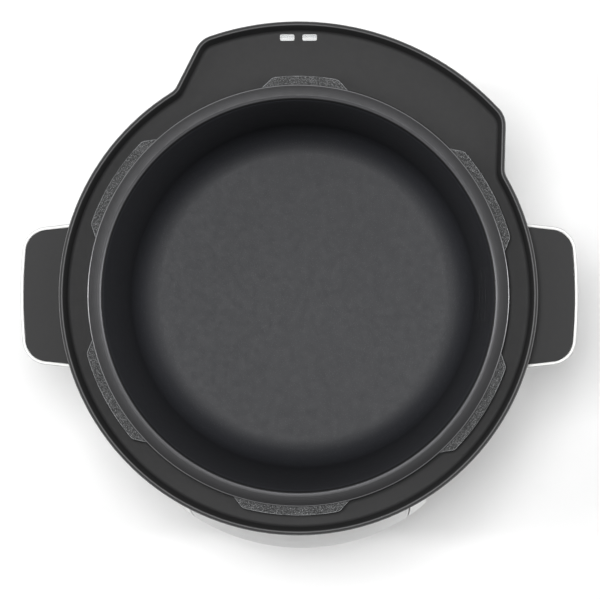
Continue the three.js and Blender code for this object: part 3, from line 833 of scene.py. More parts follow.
class COOKER_OT_top_ring(bpy.types.Operator):
    """Builds the dark ring with its raised lip, channel, bulge, drain slots and cup rails"""
    bl_idname = "cooker.top_ring"
    bl_label = "Top Ring"

    def execute(self, context):
        ring = settings("ring")
        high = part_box("top_ring")[1].z
        low = high - ring.skirt
        channel = high - ring.channel
        under = channel - ring.floor
        ring_outline("top_ring_piece")
        piece = bpy.context.object
        bpy.ops.transform.translate(value=(0, 0, low))
        extrude((0, 0, high - low))
        inset(ring.lip)
        inset(ring.draft, -ring.channel)
        choose("FACE", near_z(low))
        inset(ring.lip)
        extrude((0, 0, under - low))
        face_outwards()
        choose("EDGE", near_z(channel))
        bevel(2.0 * MM, 5)
        choose("EDGE", sharp_at(high))
        bevel(0.7 * MM, 3)
        choose("EDGE", sharp_at(low))
        bevel(0.4 * MM, 2)
        bore = disc("bore", ring.bore, low, high, 180)
        combine(piece, bore, *[self.slot(side, under, channel) for side in (-1, 1)])
        rails = [*self.rail(-1, under), *self.rail(1, under)]
        combine(piece, self.curb(under, channel), self.rib(low, under), *rails, operation="UNION")
        done(piece, ring_plastic(), "base", "top_ring")
        return {"FINISHED"}

    def curb(self, under, channel):
        """A low curb around the bore, which keeps drips in the channel."""
        inner = settings("ring").bore
        outer = inner + 2 * MM
        top = channel + 2 * MM
        points = [(inner, under), (outer, under), (outer, top, 0.7 * MM), (inner, top, 0.5 * MM)]
        return turned("curb", points, 180)

    def rib(self, low, under):
        """The rib under the channel's floor that locates the outer shell."""
        inner = 124.6 * MM
        outer = 127.6 * MM
        top = under + OVERLAP
        return turned("rib", [(inner, low), (outer, low), (outer, top), (inner, top)], 120)

    def slot(self, side, low, high):
        """One drain slot with rounded corners."""
        ring = settings("ring")
        corner = 1.0 * MM
        middle = Vector((side * ring.slot_spacing / 2, ring.slot_reach, 0))
        across = ring.slot_length / 2 - corner
        along = ring.slot_width / 2 - corner
        begin("slot_tool", middle + Vector((across + corner, -along, 0)))
        for quarter, (right, back) in enumerate(((1, 1), (-1, 1), (-1, -1), (1, -1))):
            centre = middle + Vector((right * across, back * along, 0))
            line(centre + polar(corner, quarter * FULL / 4))
            arc(centre, FULL / 4, 5)
        return prism("slot_tool", low - OVERLAP, high + OVERLAP)

    def rail(self, side, under):
        """The web and foot of one rail under the bulge, which holds the cup."""
        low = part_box("top_ring")[0].z
        foot_inside = side * 33 * MM
        web_inside = side * 36 * MM
        outside = side * 38 * MM
        front = 138 * MM
        back = 146.5 * MM
        foot_top = low + 2.5 * MM
        for inside, top in ((web_inside, under + OVERLAP), (foot_inside, foot_top)):
            left, right = sorted((inside, outside))
            yield block("rail", (left, front, low), (right, back, top))


# ------------------------------------------------------------------ lug ring
class COOKER_OT_lug_ring(bpy.types.Operator):
    """Builds the textured ring of lugs that the lid turns under"""
    bl_idname = "cooker.lug_ring"
    bl_label = "Lug Ring"

    def execute(self, context):
        lugs = settings("lugs")
        low, high = (corner.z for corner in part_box("lug_ring"))
        plate_low = high - 3 * MM
        collar_top = plate_low + OVERLAP
        collar_inner = lugs.inner + 2.4 * MM
        self.outline("lug_ring_piece")
        piece = prism("lug_ring_piece", plate_low, high)
        choose("EDGE", ends(plate_low, high))
        bevel(0.5 * MM, 3)
        collar = turned("collar", [
            (collar_inner, low, 0.3 * MM),
            (lugs.collar, low, 0.3 * MM),
            (lugs.collar, collar_top),
            (collar_inner, collar_top)], 180)
        combine(piece, collar, operation="UNION")
        combine(piece, disc("middle", lugs.inner, plate_low - OVERLAP, high + OVERLAP, 180))
        done(piece, lug_steel(), "base", "lug_ring", smooth=30)
        return {"FINISHED"}

    def outline(self, name):
        """Draws the lugs one after the other, with their slanted ends rounded."""
        lugs = settings("lugs")
        step = FULL / lugs.count
        halves = [lugs.rear_half] + [lugs.half] * (lugs.count - 1)
        begin(name, polar(lugs.root, lugs.first - halves[0]))
        tips = []
        for i, half in enumerate(halves):
            centre = lugs.first + i * step
            start = polar(lugs.tip, centre - half + lugs.slant)
            line(start)
            arc(ORIGIN, 2 * (half - lugs.slant), 14)
            end = pen()
            line(polar(lugs.root, centre + half))
            next_half = halves[(i + 1) % lugs.count]
            arc(ORIGIN, step - half - next_half, 14)
            tips += [start, end]
        merge_doubles()
        for tip in tips:
            round_corner(tip, 1.4 * MM)


# ------------------------------------------------------------------ pot, bowl and heater
class COOKER_OT_inner_pot(bpy.types.Operator):
    """Turns the inner pot with its flat rim and marks its fill levels"""
    bl_idname = "cooker.inner_pot"
    bl_label = "Inner Pot"

    def execute(self, context):
        pot = settings("pot")
        low, high = (corner.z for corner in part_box("inner_pot"))
        floor = low + pot.floor
        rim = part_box("inner_pot")[1].x
        outer = pot.inner + pot.wall
        foot = outer - pot.taper
        under = high - pot.rim
        piece = turned("inner_pot_piece", [
            (0, low),
            (foot, low, pot.corner * 0.98),
            (outer, under, 0.8 * MM),
            (rim, under, 0.9 * MM),
            (rim, high - 0.3 * MM, 0.8 * MM),
            (pot.crest, high, 0.4 * MM),
            (pot.inner, high - 0.9 * MM, 1.8 * MM),
            (foot - pot.wall, floor, 18 * MM),
            (0, floor)], 200)
        combine(piece, *[self.level_mark(floor + share * (under - low)) for share in (0.35, 0.5, 0.65)])
        done(piece, pot_coating(), "pot", "inner_pot")
        return {"FINISHED"}

    def level_mark(self, z):
        """A tool for a short groove pressed into the right-hand side of the wall."""
        pot = settings("pot")
        low = z - 0.35 * MM
        high = z + 0.35 * MM
        outer = pot.inner - 0.05 * MM
        inner = outer - 3 * MM
        half_span = math.radians(8)
        return turned("level_tool", [(inner, low), (outer, low), (outer, high), (inner, high)],
                      24, facing=-half_span, span=2 * half_span)


class COOKER_OT_bowl_and_heater(bpy.types.Operator):
    """Turns the steel bowl, the seal, the heating plate and the temperature sensor"""
    bl_idname = "cooker.bowl_and_heater"
    bl_label = "Bowl and Heater"

    def execute(self, context):
        self.bowl()
        self.seal()
        self.plate()
        self.sensor()
        self.spring()
        return {"FINISHED"}

    def bowl(self):
        low, high = (corner.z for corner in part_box("steel_bowl"))
        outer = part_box("steel_bowl")[1].x
        wall = 1.4 * MM
        sensor_hole = 17 * MM
        corner = 26.4 * MM
        terminal_x = 64 * MM
        piece = turned("steel_bowl_piece", [
            (sensor_hole, low),
            (outer, low, corner),
            (outer, high, 0.4 * MM),
            (outer - wall, high, 0.4 * MM),
            (outer - wall, low + wall, corner - wall),
            (sensor_hole, low + wall)], 180)
        combine(piece, *[upright_rod("hole", Vector((x, 0, 0)), low - OVERLAP, low + wall + OVERLAP, 6 * MM)
                         for x in (-terminal_x, terminal_x)])
        done(piece, steel(), "base", "steel_bowl")

    def seal(self):
        low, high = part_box("channel_seal")
        outer = high.x
        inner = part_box("steel_bowl")[1].x + GAP
        rounding = 0.5 * MM
        piece = turned("channel_seal_piece", [
            (inner, low.z, rounding),
            (outer, low.z, rounding),
            (outer, high.z, rounding),
            (inner, high.z, rounding)])
        done(piece, rubber(), "base", "channel_seal")

    def plate(self):
        """The cast plate, with the element's rib below and a shallow groove above."""
        low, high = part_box("heating_plate")
        top = high.z
        under = top - 8 * MM
        rib = under - 7.7 * MM
        groove = top - 0.8 * MM
        sensor_hole = 18 * MM
        outer = high.x
        piece = turned("heating_plate_piece", [
            (sensor_hole, under, 0.6 * MM),
            (57 * MM, under, 2 * MM),
            (59 * MM, rib, 2 * MM),
            (69 * MM, rib, 2 * MM),
            (71 * MM, under, 2 * MM),
            (outer, under, 1.5 * MM),
            (outer, top, 2.2 * MM),
            (38 * MM, top, 0.5 * MM),
            (37 * MM, groove, 0.4 * MM),
            (33 * MM, groove, 0.4 * MM),
            (32 * MM, top, 0.5 * MM),
            (sensor_hole, top, 1.2 * MM)])
        feet = [polar(78 * MM, REAR + i * FULL / 3) for i in range(3)]
        combine(piece, *[upright_rod("foot", place, low.z, under + OVERLAP, 5 * MM) for place in feet],
                operation="UNION")
        done(piece, cast_aluminium(), "base", "heating_plate")

    def sensor(self):
        """The cap that touches the pot, and the fixed sleeve that it slides in."""
        low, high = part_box("sensor_cap")
        radius = high.x
        wall = 1.2 * MM
        cap = turned("sensor_cap_piece", [
            (radius - wall, low.z, 0.3 * MM),
            (radius, low.z, 0.3 * MM),
            (radius, high.z, 1.6 * MM),
            (0, high.z),
            (0, high.z - wall),
            (radius - wall, high.z - wall, 0.8 * MM)], 72)
        done(cap, cast_aluminium(), "sensor", "sensor_cap")
        low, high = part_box("sensor_sleeve")
        outer = 16.5 * MM
        inner = 14 * MM
        wire_hole = 3 * MM
        floor = low.z + 2 * MM
        flange_low = low.z + 9.7 * MM
        flange_high = flange_low + 1.5 * MM
        sleeve = turned("sensor_sleeve_piece", [
            (wire_hole, low.z),
            (outer, low.z, 1.0 * MM),
            (outer, flange_low),
            (high.x, flange_low, 0.4 * MM),
            (high.x, flange_high, 0.4 * MM),
            (outer, flange_high),
            (outer, high.z, 0.5 * MM),
            (inner, high.z, 0.5 * MM),
            (inner, floor),
            (wire_hole, floor)], 72)
        done(sleeve, component_plastic(), "base", "sensor_sleeve")

    def spring(self):
        """The coil spring under the cap, drawn at one length; the real spring shortens as the sensor goes
        down.
        """
        low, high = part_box("sensor_spring")
        wire = 0.8 * MM
        turns = 5
        steps = 32 * turns
        object_mode()
        bpy.ops.mesh.primitive_circle_add(
            vertices=12, radius=wire, location=(high.x - wire, 0, low.z + wire), rotation=(FULL / 4, 0, 0))
        coil = bpy.context.object
        coil.name = "sensor_spring_piece"
        bpy.ops.object.transform_apply(location=True, rotation=True)
        use_modifier(coil, "SCREW", angle=turns * FULL, screw_offset=high.z - low.z - 2 * wire,
                     steps=steps, render_steps=steps)
        edit(coil, "VERT")
        choose_all()
        bpy.ops.mesh.fill_holes(sides=0)
        face_outwards()
        done(coil, steel(), "base", "sensor_spring")
        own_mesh(coil)


# ------------------------------------------------------------------ body
def shell_radius(z):
    """The shell's outer radius at a height: two parabolas that meet at the belly."""
    body = settings("body")
    low, high = (corner.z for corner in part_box("outer_shell"))
    below = z < body.belly_height
    span = body.belly_height - low if below else high - body.belly_height
    drawn_in = body.belly_radius - (body.foot_radius if below else body.neck_radius)
    return body.belly_radius - drawn_in * ((z - body.belly_height) / span) ** 2


def shell_side(offset, low, high, rows=20):
    """The shell's outer side as corners of a section, moved outwards by an offset."""
    heights = [low + (high - low) * i / rows for i in range(rows + 1)]
    return [(shell_radius(z) + offset, z) for z in heights]


def shell_core(low, high):
    """All that lies inside the shell's outer side, to trim what is fixed to it."""
    return turned("core", [(0, low), *shell_side(GAP, low, high), (0, high)], 240)


def front_block(name, half, low, high, rounding=0.0):
    """A block through the front of the body, between two sides and two heights."""
    return rounded_block(name, (-half, -200 * MM, low), (half, -90 * MM, high), rounding)


class COOKER_OT_outer_shell(bpy.types.Operator):
    """Turns the barrel-shaped shell and cuts its window, inlet hole and screw holes"""
    bl_idname = "cooker.outer_shell"
    bl_label = "Outer Shell"

    def execute(self, context):
        body = settings("body")
        low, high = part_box("outer_shell")
        edge_rounding = 0.6 * MM
        outside = shell_side(0, low.z, high.z)
        inside = shell_side(-body.wall, low.z, high.z)[::-1]
        outside[0] += (edge_rounding,)
        outside[-1] += (edge_rounding,)
        piece = turned("outer_shell_piece", outside + inside, 240)
        combine(piece, self.inlet_block("pad", 21 * MM, 19 * MM, 125 * MM, high.y, 4 * MM), operation="UNION")
        window = front_block("window", 58.5 * MM, 62 * MM, 208 * MM)
        hole = self.inlet_block("hole", 13.8 * MM, 11.8 * MM, 110 * MM, 140 * MM)
        across = screw_rods("bore", -150 * MM, 150 * MM, 2.3 * MM)
        combine(piece, window, hole, *across)
        done(piece, shell_plastic(), "base", "outer_shell")
        return {"FINISHED"}

    def inlet_block(self, name, half, tall, front, back, rounding=0.0):
        """A block around the power inlet's middle, between two distances from the pot's axis."""
        centre = sum(corner.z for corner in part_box("power_inlet")) / 2
        return rounded_block(name, (-half, front, centre - tall), (half, back, centre + tall), rounding)


class COOKER_OT_base(bpy.types.Operator):
    """Turns the base plate, cuts its vents and bores, and adds the rubber feet"""
    bl_idname = "cooker.base"
    bl_label = "Base Plate and Feet"

    def execute(self, context):
        self.plate()
        self.feet()
        return {"FINISHED"}

    def plate(self):
        """The plate with its upright wall, posts for screws and boards, and rows of vents."""
        low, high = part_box("base_plate")
        rim = high.x
        top = low.z + 3 * MM
        wall = 123.2 * MM
        wall_inner = wall - 3 * MM
        wall_top = 20 * MM
        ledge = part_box("outer_shell")[0].z - GAP
        piece = turned("base_plate_piece", [
            (0, low.z),
            (rim, low.z, 0.8 * MM),
            (rim, ledge, 0.3 * MM),
            (wall, ledge),
            (wall, wall_top, 0.5 * MM),
            (wall_inner, wall_top, 0.5 * MM),
            (wall_inner, top, 1.5 * MM),
            (0, top)], 200)
        posts = [polar(80 * MM, math.radians(30 + 120 * i)) for i in range(3)]
        board_posts = [Vector((x * MM, y * MM, 0)) for x in (-48, 48) for y in (28, 88)]
        board_rest = wall_top - GAP
        root = low.z + OVERLAP
        columns = [upright_rod("post", place, root, high.z, 6 * MM) for place in posts]
        columns += [upright_rod("post", place, root, board_rest, 3.5 * MM) for place in board_posts]
        combine(piece, *columns, operation="UNION")
        past_top = top + OVERLAP
        bores = [upright_rod("bore", place, 0, 60 * MM, 2.4 * MM) for place in posts]
        bores += [upright_rod("head_bore", place, 0, past_top, 4.8 * MM, 32) for place in posts]
        bores += [upright_rod("foot_bore", place, 0, past_top, 4.3 * MM) for place in self.foot_places()]
        combine(piece, *bores, *self.vents())
        done(piece, ring_plastic(), "base", "base_plate")

    def vents(self):
        """Two columns of slots with round ends, cut through the plate."""
        half_length = 20 * MM
        half_width = 2 * MM
        for x in (-48 * MM, 48 * MM):
            for row in range(5):
                y = (9 * row - 32) * MM
                yield rounded_block("vent", (x - half_length, y - half_width, 5 * MM),
                                    (x + half_length, y + half_width, 12 * MM), 1.9 * MM, "z", 4)

    def foot_places(self):
        return [polar(104 * MM, math.radians(45 + 90 * i)) for i in range(4)]

    def feet(self):
        """One foot with a grooved tread, copied to the four corners."""
        places = self.foot_places()
        low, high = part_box("foot_1")
        radius = (high.x - low.x) / 2
        stalk = 4 * MM
        groove = 0.6 * MM
        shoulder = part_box("base_plate")[0].z - GAP
        first = turned("foot_piece_1", [
            (0, groove),
            (4 * MM, groove, 0.4 * MM),
            (5 * MM, 0, 0.3 * MM),
            (6.2 * MM, 0, 0.3 * MM),
            (6.6 * MM, groove, 0.2 * MM),
            (7.4 * MM, groove, 0.2 * MM),
            (7.8 * MM, 0, 0.3 * MM),
            (radius, 0, 1.1 * MM),
            (radius, shoulder, 0.6 * MM),
            (stalk, shoulder),
            (stalk, high.z, 0.6 * MM),
            (0, high.z)], 48, about=places[0])
        object_mode()
        feet = [first]
        for number, place in enumerate(places[1:], 2):
            feet.append(moved_copy(first, f"foot_piece_{number}", Matrix.Translation(place - places[0])))
        for number, piece in enumerate(feet, 1):
            done(piece, rubber(), "base", f"foot_{number}")


def moved_copy(piece, name, matrix):
    """A copy with its own mesh, moved or turned in that mesh."""
    twin = piece.copy()
    twin.data = piece.data.copy()
    twin.name = name
    bpy.context.scene.collection.objects.link(twin)
    twin.data.transform(matrix)
    return twin


# ------------------------------------------------------------------ handles
class COOKER_OT_handles(bpy.types.Operator):
    """Builds the right handle with its dark cap and turns a copy to the left"""
    bl_idname = "cooker.handles"
    bl_label = "Handles"

    def execute(self, context):
        shell = self.shell()
        cap = self.cap()
        object_mode()
        half_turn = Matrix.Rotation(math.pi, 4, "Z")
        left_shell = moved_copy(shell, "left_handle_shell_piece", half_turn)
        left_cap = moved_copy(cap, "left_handle_cap_piece", half_turn)
        for side, body, top in (("right", shell, cap), ("left", left_shell, left_cap)):
            done(body, handle_shell_plastic(), "base", f"{side}_handle_shell")
            done(top, handle_plastic(), "base", f"{side}_handle_cap")
        return {"FINISHED"}

    def outline(self, name, inset=0.0):
        """Draws the right handle seen from above, with its slightly bowed end."""
        handle = settings("handles")
        root = 120 * MM
        centre_x = handle.tip - MM - handle.corner
        centre_y = handle.end_half - handle.corner
        corner = handle.corner - inset
        lower = Vector((centre_x, -centre_y, 0))
        upper = Vector((centre_x, centre_y, 0))
        lean = math.radians(5)
        steep = math.radians(83)
        bow = (centre_y + handle.corner * math.sin(lean)) / math.sin(lean)
        bow_centre = lower + polar(corner, -lean) - polar(bow, -lean)
        begin(name, (root, -handle.root_half + inset, 0))
        line(lower + polar(corner, -steep))
        arc(lower, steep - lean, 10)
        arc((bow_centre.x, 0, 0), 2 * lean, 10)
        arc(upper, steep - lean, 10)
        line((root, handle.root_half - inset, 0))

    def ring_side(self, clearance):
        """The top ring's round part, grown by a clearance, to cut out of a handle."""
        ring = settings("ring")
        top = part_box("top_ring")[1].z
        return disc("ring_side", ring.radius + clearance, top - ring.skirt - GAP, top, 240)

    def shell(self):
        """The light shell: a tray for the cap above, a finger recess below and two screw bosses."""
        handle = settings("handles")
        low, high = (corner.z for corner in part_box("right_handle_shell"))
        cap_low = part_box("right_handle_cap")[0].z - GAP
        self.outline("right_handle_shell_piece")
        piece = prism("right_handle_shell_piece", low, high)
        choose("EDGE", ends(low, high))
        bevel(0.5 * MM, 3)
        self.outline("recess", handle.rim)
        recess = prism("recess", cap_low, high + OVERLAP)
        combine(piece, recess, self.finger_recess(low))
        combine(piece, *screw_rods("boss", 133 * MM, 146 * MM, 5 * MM, 32), operation="UNION")
        bores = screw_rods("bore", 110 * MM, 143 * MM, 2.1 * MM)
        core = shell_core(180 * MM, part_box("outer_shell")[1].z)
        combine(piece, *bores, core, self.ring_side(GAP))
        return piece

    def finger_recess(self, low):
        """A tool that hollows the handle from below, and leaves a wall at its root."""
        handle = settings("handles")
        roof = 222.5 * MM
        wall_face = 136.5 * MM
        self.outline("grip", handle.wall)
        grip = prism("grip", low - OVERLAP, roof)
        combine(grip, block("back", (100 * MM, -60 * MM, 180 * MM), (wall_face, 60 * MM, 240 * MM)))
        edit(grip)
        choose("EDGE", near_z(roof))
        bevel(2 * MM, 4)
        return grip

    def cap(self):
        """The dark cap that fills the shell's tray."""
        handle = settings("handles")
        low, high = (corner.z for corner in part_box("right_handle_cap"))
        self.outline("right_handle_cap_piece", handle.rim + GAP)
        piece = prism("right_handle_cap_piece", low, high)
        choose("EDGE", near_z(high))
        bevel(0.5 * MM, 3)
        combine(piece, self.ring_side(2 * GAP))
        return piece


# ------------------------------------------------------------------ front panel
# Where the face stands, measured outwards from its largest reach, and the height there, in millimetres
PANEL_PROFILE = [
    (-8.4, 50), (-2.9, 53), (0, 60), (0, 140), (-2.4, 160), (-5.9, 180), (-10.6, 200), (-17.1, 222),
]

DISPLAY_HALF = 33 * MM
DISPLAY_LOW = 108 * MM
DISPLAY_HIGH = 136 * MM
DISPLAY_CORNER = 2.5 * MM

# Each key's direction in degrees, and its height on the panel, width and height in millimetres
KEYS = {
    "menu": (-24, 93, 18, 9),
    "minus": (-8, 93, 16, 9),
    "plus": (8, 93, 16, 9),
    "timer": (24, 93, 18, 9),
    "cancel": (-11, 74, 36, 12),
    "start": (11, 74, 36, 12),
}
KEY_PROUD = 0.3 * MM        # how far a key stands out from the face
KEY_GAP = 0.4 * MM          # room around a key in its hole, and in front of its flange
KEY_TRAVEL = 1.0 * MM
KEY_BRIM = 1.2 * MM         # how far its flange reaches past the key, behind the wall
KEY_STEM = 2.2 * MM         # radius of the stem that meets the switch
SIGN_DEPTH = 0.25 * MM
OUTSIDE = 140 * MM          # farther from the panel's axis than its face


def panel_axis():
    return Vector((0, settings("panel").axis_y, 0))


def face_radius():
    """The face's largest distance from the panel's own axis."""
    panel = settings("panel")
    return panel.reach + panel.axis_y


def panel_round(name, inset):
    """The panel's whole round body, moved inwards by an inset."""
    side = [(face_radius() + step * MM - inset, z * MM) for step, z in PANEL_PROFILE]
    rounded = [side[0]] + [(*point, 4 * MM) for point in side[2:-1]] + [side[-1]]
    rounded.insert(1, (*side[1], 1.5 * MM))
    return turned(name, [(0, side[0][1]), *rounded, (0, side[-1][1])], 260, about=panel_axis())


def facing_panel(degrees):
    """The turn that takes a piece from the panel's front to a key's direction."""
    axis = Matrix.Translation(panel_axis())
    return axis @ Matrix.Rotation(math.radians(degrees), 4, "Z") @ axis.inverted()


def key_block(name, width, height, z, front, back, radius, grow=0.0):
    """A block with rounded corners at the panel's front, between two distances from its axis."""
    axis_y = panel_axis().y
    half = width / 2 + grow
    tall = height / 2 + grow
    low = (-half, axis_y - front, z - tall)
    high = (half, axis_y - back, z + tall)
    return rounded_block(name, low, high, radius + grow)


def key_holes():
    """Holes a little larger than the keys."""
    for degrees, z, width, height in KEYS.values():
        tool = key_block("key_hole", width * MM, height * MM, z * MM, OUTSIDE, 100 * MM, 2.5 * MM, KEY_GAP)
        object_mode()
        tool.data.transform(facing_panel(degrees))
        yield tool


def display_block(name, grow):
    """A block through the display's opening, grown all round."""
    return front_block(name, DISPLAY_HALF + grow, DISPLAY_LOW - grow, DISPLAY_HIGH + grow, DISPLAY_CORNER)


def whole_shell_core():
    """The outer shell's inside from its lower to its upper edge."""
    low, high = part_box("outer_shell")
    return shell_core(low.z, high.z)


class COOKER_OT_front_panel(bpy.types.Operator):
    """Builds the panel's housing with its cheeks, the face sheet and the display window"""
    bl_idname = "cooker.front_panel"
    bl_label = "Front Panel"

    def execute(self, context):
        self.housing()
        self.fascia()
        self.lens()
        return {"FINISHED"}

    def plan(self):
        """The housing's extent seen from above, cheeks included."""
        panel = settings("panel")
        edge = panel.half + GAP
        corner = Vector((edge, panel.axis_y - math.sqrt(face_radius() ** 2 - edge ** 2), 0))
        cheek = corner + polar(panel.cheek, panel.cheek_angle)
        side = [Vector((edge, -170 * MM, 0)), corner, cheek, Vector((70 * MM, -112 * MM, 0))]
        mirrored = [Vector((-place.x, place.y, 0)) for place in side][::-1]
        begin("plan", side[0])
        for place in side[1:] + mirrored:
            line(place)
        return prism("plan", 45 * MM, 230 * MM)

    def housing(self):
        """The light frame: open in front for the face sheet, and hollow behind its front wall."""
        panel = settings("panel")
        pocket_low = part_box("panel_fascia")[0].z - GAP
        under_sheet = panel.sheet + GAP
        pocket = front_block("pocket", panel.half + GAP, pocket_low, 230 * MM)
        combine(pocket, panel_round("inner", under_sheet))
        hollow = front_block("hollow", 58 * MM, 62 * MM, 212 * MM)
        combine(hollow, panel_round("inner", under_sheet + panel.wall), operation="INTERSECT")
        piece = panel_round("panel_housing_piece", 0)
        combine(piece, self.plan(), operation="INTERSECT")
        window = display_block("window", -3 * MM)
        combine(piece, pocket, hollow, whole_shell_core(), window, *key_holes())
        done(piece, shell_plastic(), "base", "panel_housing", smooth=30)

    def fascia(self):
        """The face sheet, which lies in the housing's pocket."""
        panel = settings("panel")
        low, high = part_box("panel_fascia")
        piece = panel_round("panel_fascia_piece", 0)
        combine(piece, panel_round("inner", panel.sheet))
        span = front_block("span", panel.half - panel.seam, low.z, high.z + OVERLAP)
        combine(piece, span, operation="INTERSECT")
        combine(piece, whole_shell_core(), display_block("window", 0), *key_holes())
        soften(piece, 0.35 * MM, 2, 50)
        done(piece, panel_plastic(), "base", "panel_fascia", smooth=30)

    def lens(self):
        """The display's window, let into the face sheet."""
        panel = settings("panel")
        sunk = 0.1 * MM
        piece = panel_round("display_lens_piece", sunk)
        combine(piece, panel_round("inner", panel.sheet - sunk))
        combine(piece, display_block("span", -GAP), operation="INTERSECT")
        soften(piece, 0.2 * MM, 2, 50)
        done(piece, dark_lens(), "base", "display_lens", smooth=30)


class COOKER_OT_keys(bpy.types.Operator):
    """Builds the six push buttons with their engraved signs"""
    bl_idname = "cooker.keys"
    bl_label = "Push Buttons"

    def execute(self, context):
        for name, (degrees, z, width, height) in KEYS.items():
            self.key(name, degrees, z * MM, width * MM, height * MM)
        return {"FINISHED"}

    def key(self, name, degrees, z, width, height):
        """One button: its domed face, the flange behind the wall and the stem to its switch."""
        panel = settings("panel")
        axis_y = panel_axis().y
        proud = face_radius() + KEY_PROUD
        wall = face_radius() - panel.sheet - GAP - panel.wall
        brim = math.sqrt(wall ** 2 - (width / 2 + KEY_BRIM) ** 2) - KEY_GAP
        piece = key_block(f"{name}_key_piece", width, height, z, OUTSIDE, brim - OVERLAP, 2.3 * MM)
        low = z - height
        high = z + height
        dome = turned("dome", [(0, low), (proud, low), (proud, high), (0, high)], 260, about=panel_axis())
        combine(piece, dome, operation="INTERSECT")
        soften(piece, 0.4 * MM, 3, 50)
        flange = key_block("flange", width, height, z, brim, brim - 1.4 * MM, 0.8 * MM, KEY_BRIM)
        root = (0, axis_y - brim + OVERLAP / 2, z)
        tip = (0, axis_y - self.stem_reach(degrees), z)
        combine(piece, flange, rod("stem", root, tip, KEY_STEM), operation="UNION")
        combine(piece, *self.sign(name, z, proud))
        object_mode()
        piece.data.transform(facing_panel(degrees))
        done(piece, key_plastic(), f"{name}_key", f"{name}_button", smooth=30)

    def stem_reach(self, degrees):
        """How far from the panel's axis the stem ends, to meet its switch at the end of its travel."""
        lean = math.radians(abs(degrees))
        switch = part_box("control_board")[0].y - KEY_TRAVEL - GAP
        return (panel_axis().y - switch) / math.cos(lean) + KEY_STEM * math.tan(lean)

    def stroke(self, x, z, width, height, proud):
        """A tool that engraves one straight stroke in the face."""
        face = panel_axis().y - proud
        hollow = proud - math.sqrt(proud ** 2 - (abs(x) + width / 2) ** 2)
        return block("stroke", (x - width / 2, face - OVERLAP, z - height / 2),
                     (x + width / 2, face + SIGN_DEPTH + hollow, z + height / 2))

    def sign(self, name, z, proud):
        """Tools that engrave a key's plain sign: bars, a minus, a plus, a clock, a square or a triangle."""
        thin = 0.6 * MM
        thick = 0.8 * MM
        long = 4.4 * MM
        if name == "menu":
            return [self.stroke(0, z + row * 1.5 * MM, 5 * MM, thin, proud) for row in (-1, 0, 1)]
        if name == "minus":
            return [self.stroke(0, z, long, thick, proud)]
        if name == "plus":
            return [self.stroke(0, z, long, thick, proud), self.stroke(0, z, thick, long, proud)]
        if name == "timer":
            return self.clock(z, proud, thin)
        if name == "cancel":
            return [self.stroke(0, z, 4.6 * MM, 4.6 * MM, proud)]
        return [self.triangle(z, proud)]

    def clock(self, z, proud, thin):
        """A circle with two hands."""
        face = panel_axis().y - proud
        circle = rod("circle", (0, face - OVERLAP, z), (0, face + 0.3 * MM, z), 2.7 * MM, 40)
        combine(circle, rod("core", (0, face - 2 * OVERLAP, z), (0, face + OVERLAP, z), 2.1 * MM, 40))
        long_hand = self.stroke(0, z + 0.7 * MM, thin, 1.8 * MM, proud)
        short_hand = self.stroke(0.5 * MM, z, 1.4 * MM, thin, proud)
        return [circle, long_hand, short_hand]

    def triangle(self, z, proud):
        """A triangle that points to the right."""
        depth = 0.3 * MM
        begin("triangle", (-2 * MM, -2.6 * MM, 0))
        line((2.8 * MM, 0, 0))
        line((-2 * MM, 2.6 * MM, 0))
        piece = prism("triangle", 0, depth + OVERLAP)
        object_mode()
        upright = Matrix.Rotation(FULL / 4, 4, "X")
        piece.data.transform(Matrix.Translation((0, panel_axis().y - proud + depth, z)) @ upright)
        return piece


# ------------------------------------------------------------------ rear pieces
class COOKER_OT_power_inlet(bpy.types.Operator):
    """Builds the power inlet with its three flat pins"""
    bl_idname = "cooker.power_inlet"
    bl_label = "Power Inlet"

    def execute(self, context):
        low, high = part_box("power_inlet")
        centre = (low.z + high.z) / 2
        half = 13.5 * MM
        tall = 11.5 * MM
        flange_low = high.y - 2 * MM
        piece = rounded_block("power_inlet_piece", (-half, low.y, centre - tall),
                              (half, flange_low + OVERLAP, centre + tall), 2 * MM)
        flange = rounded_block("flange", (low.x, flange_low, low.z), high, 3 * MM)
        combine(piece, flange, operation="UNION")
        soften(piece, 0.5 * MM, 2, 60)
        combine(piece, self.socket(centre))
        done(piece, component_plastic(), "base", "power_inlet")
        for name in ("live", "earth", "neutral"):
            self.pin(name)
        return {"FINISHED"}

    def socket(self, centre):
        """The socket, with its two upper corners cut off so that a connector fits one way round."""
        half = 11 * MM
        tall = 8 * MM
        tool = block("socket", (-half, 117 * MM, centre - tall), (half, 140 * MM, centre + tall))
        lengthwise = runs_along("y")
        choose("EDGE", lambda edge: lengthwise(edge) and edge.verts[0].co.z > centre)
        bevel(4 * MM, 1)
        choose("EDGE", lambda edge: lengthwise(edge) and edge.verts[0].co.z < centre)
        bevel(1 * MM, 3)
        return tool

    def pin(self, name):
        node = f"inlet_pin_{name}"
        low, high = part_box(node)
        piece = block(f"{node}_piece", low, high)
        choose("EDGE", lambda edge: min(vertex.co.y for vertex in edge.verts) > high.y - 0.1 * MM)
        bevel(0.7 * MM, 2)
        done(piece, screw_steel(), "base", node)


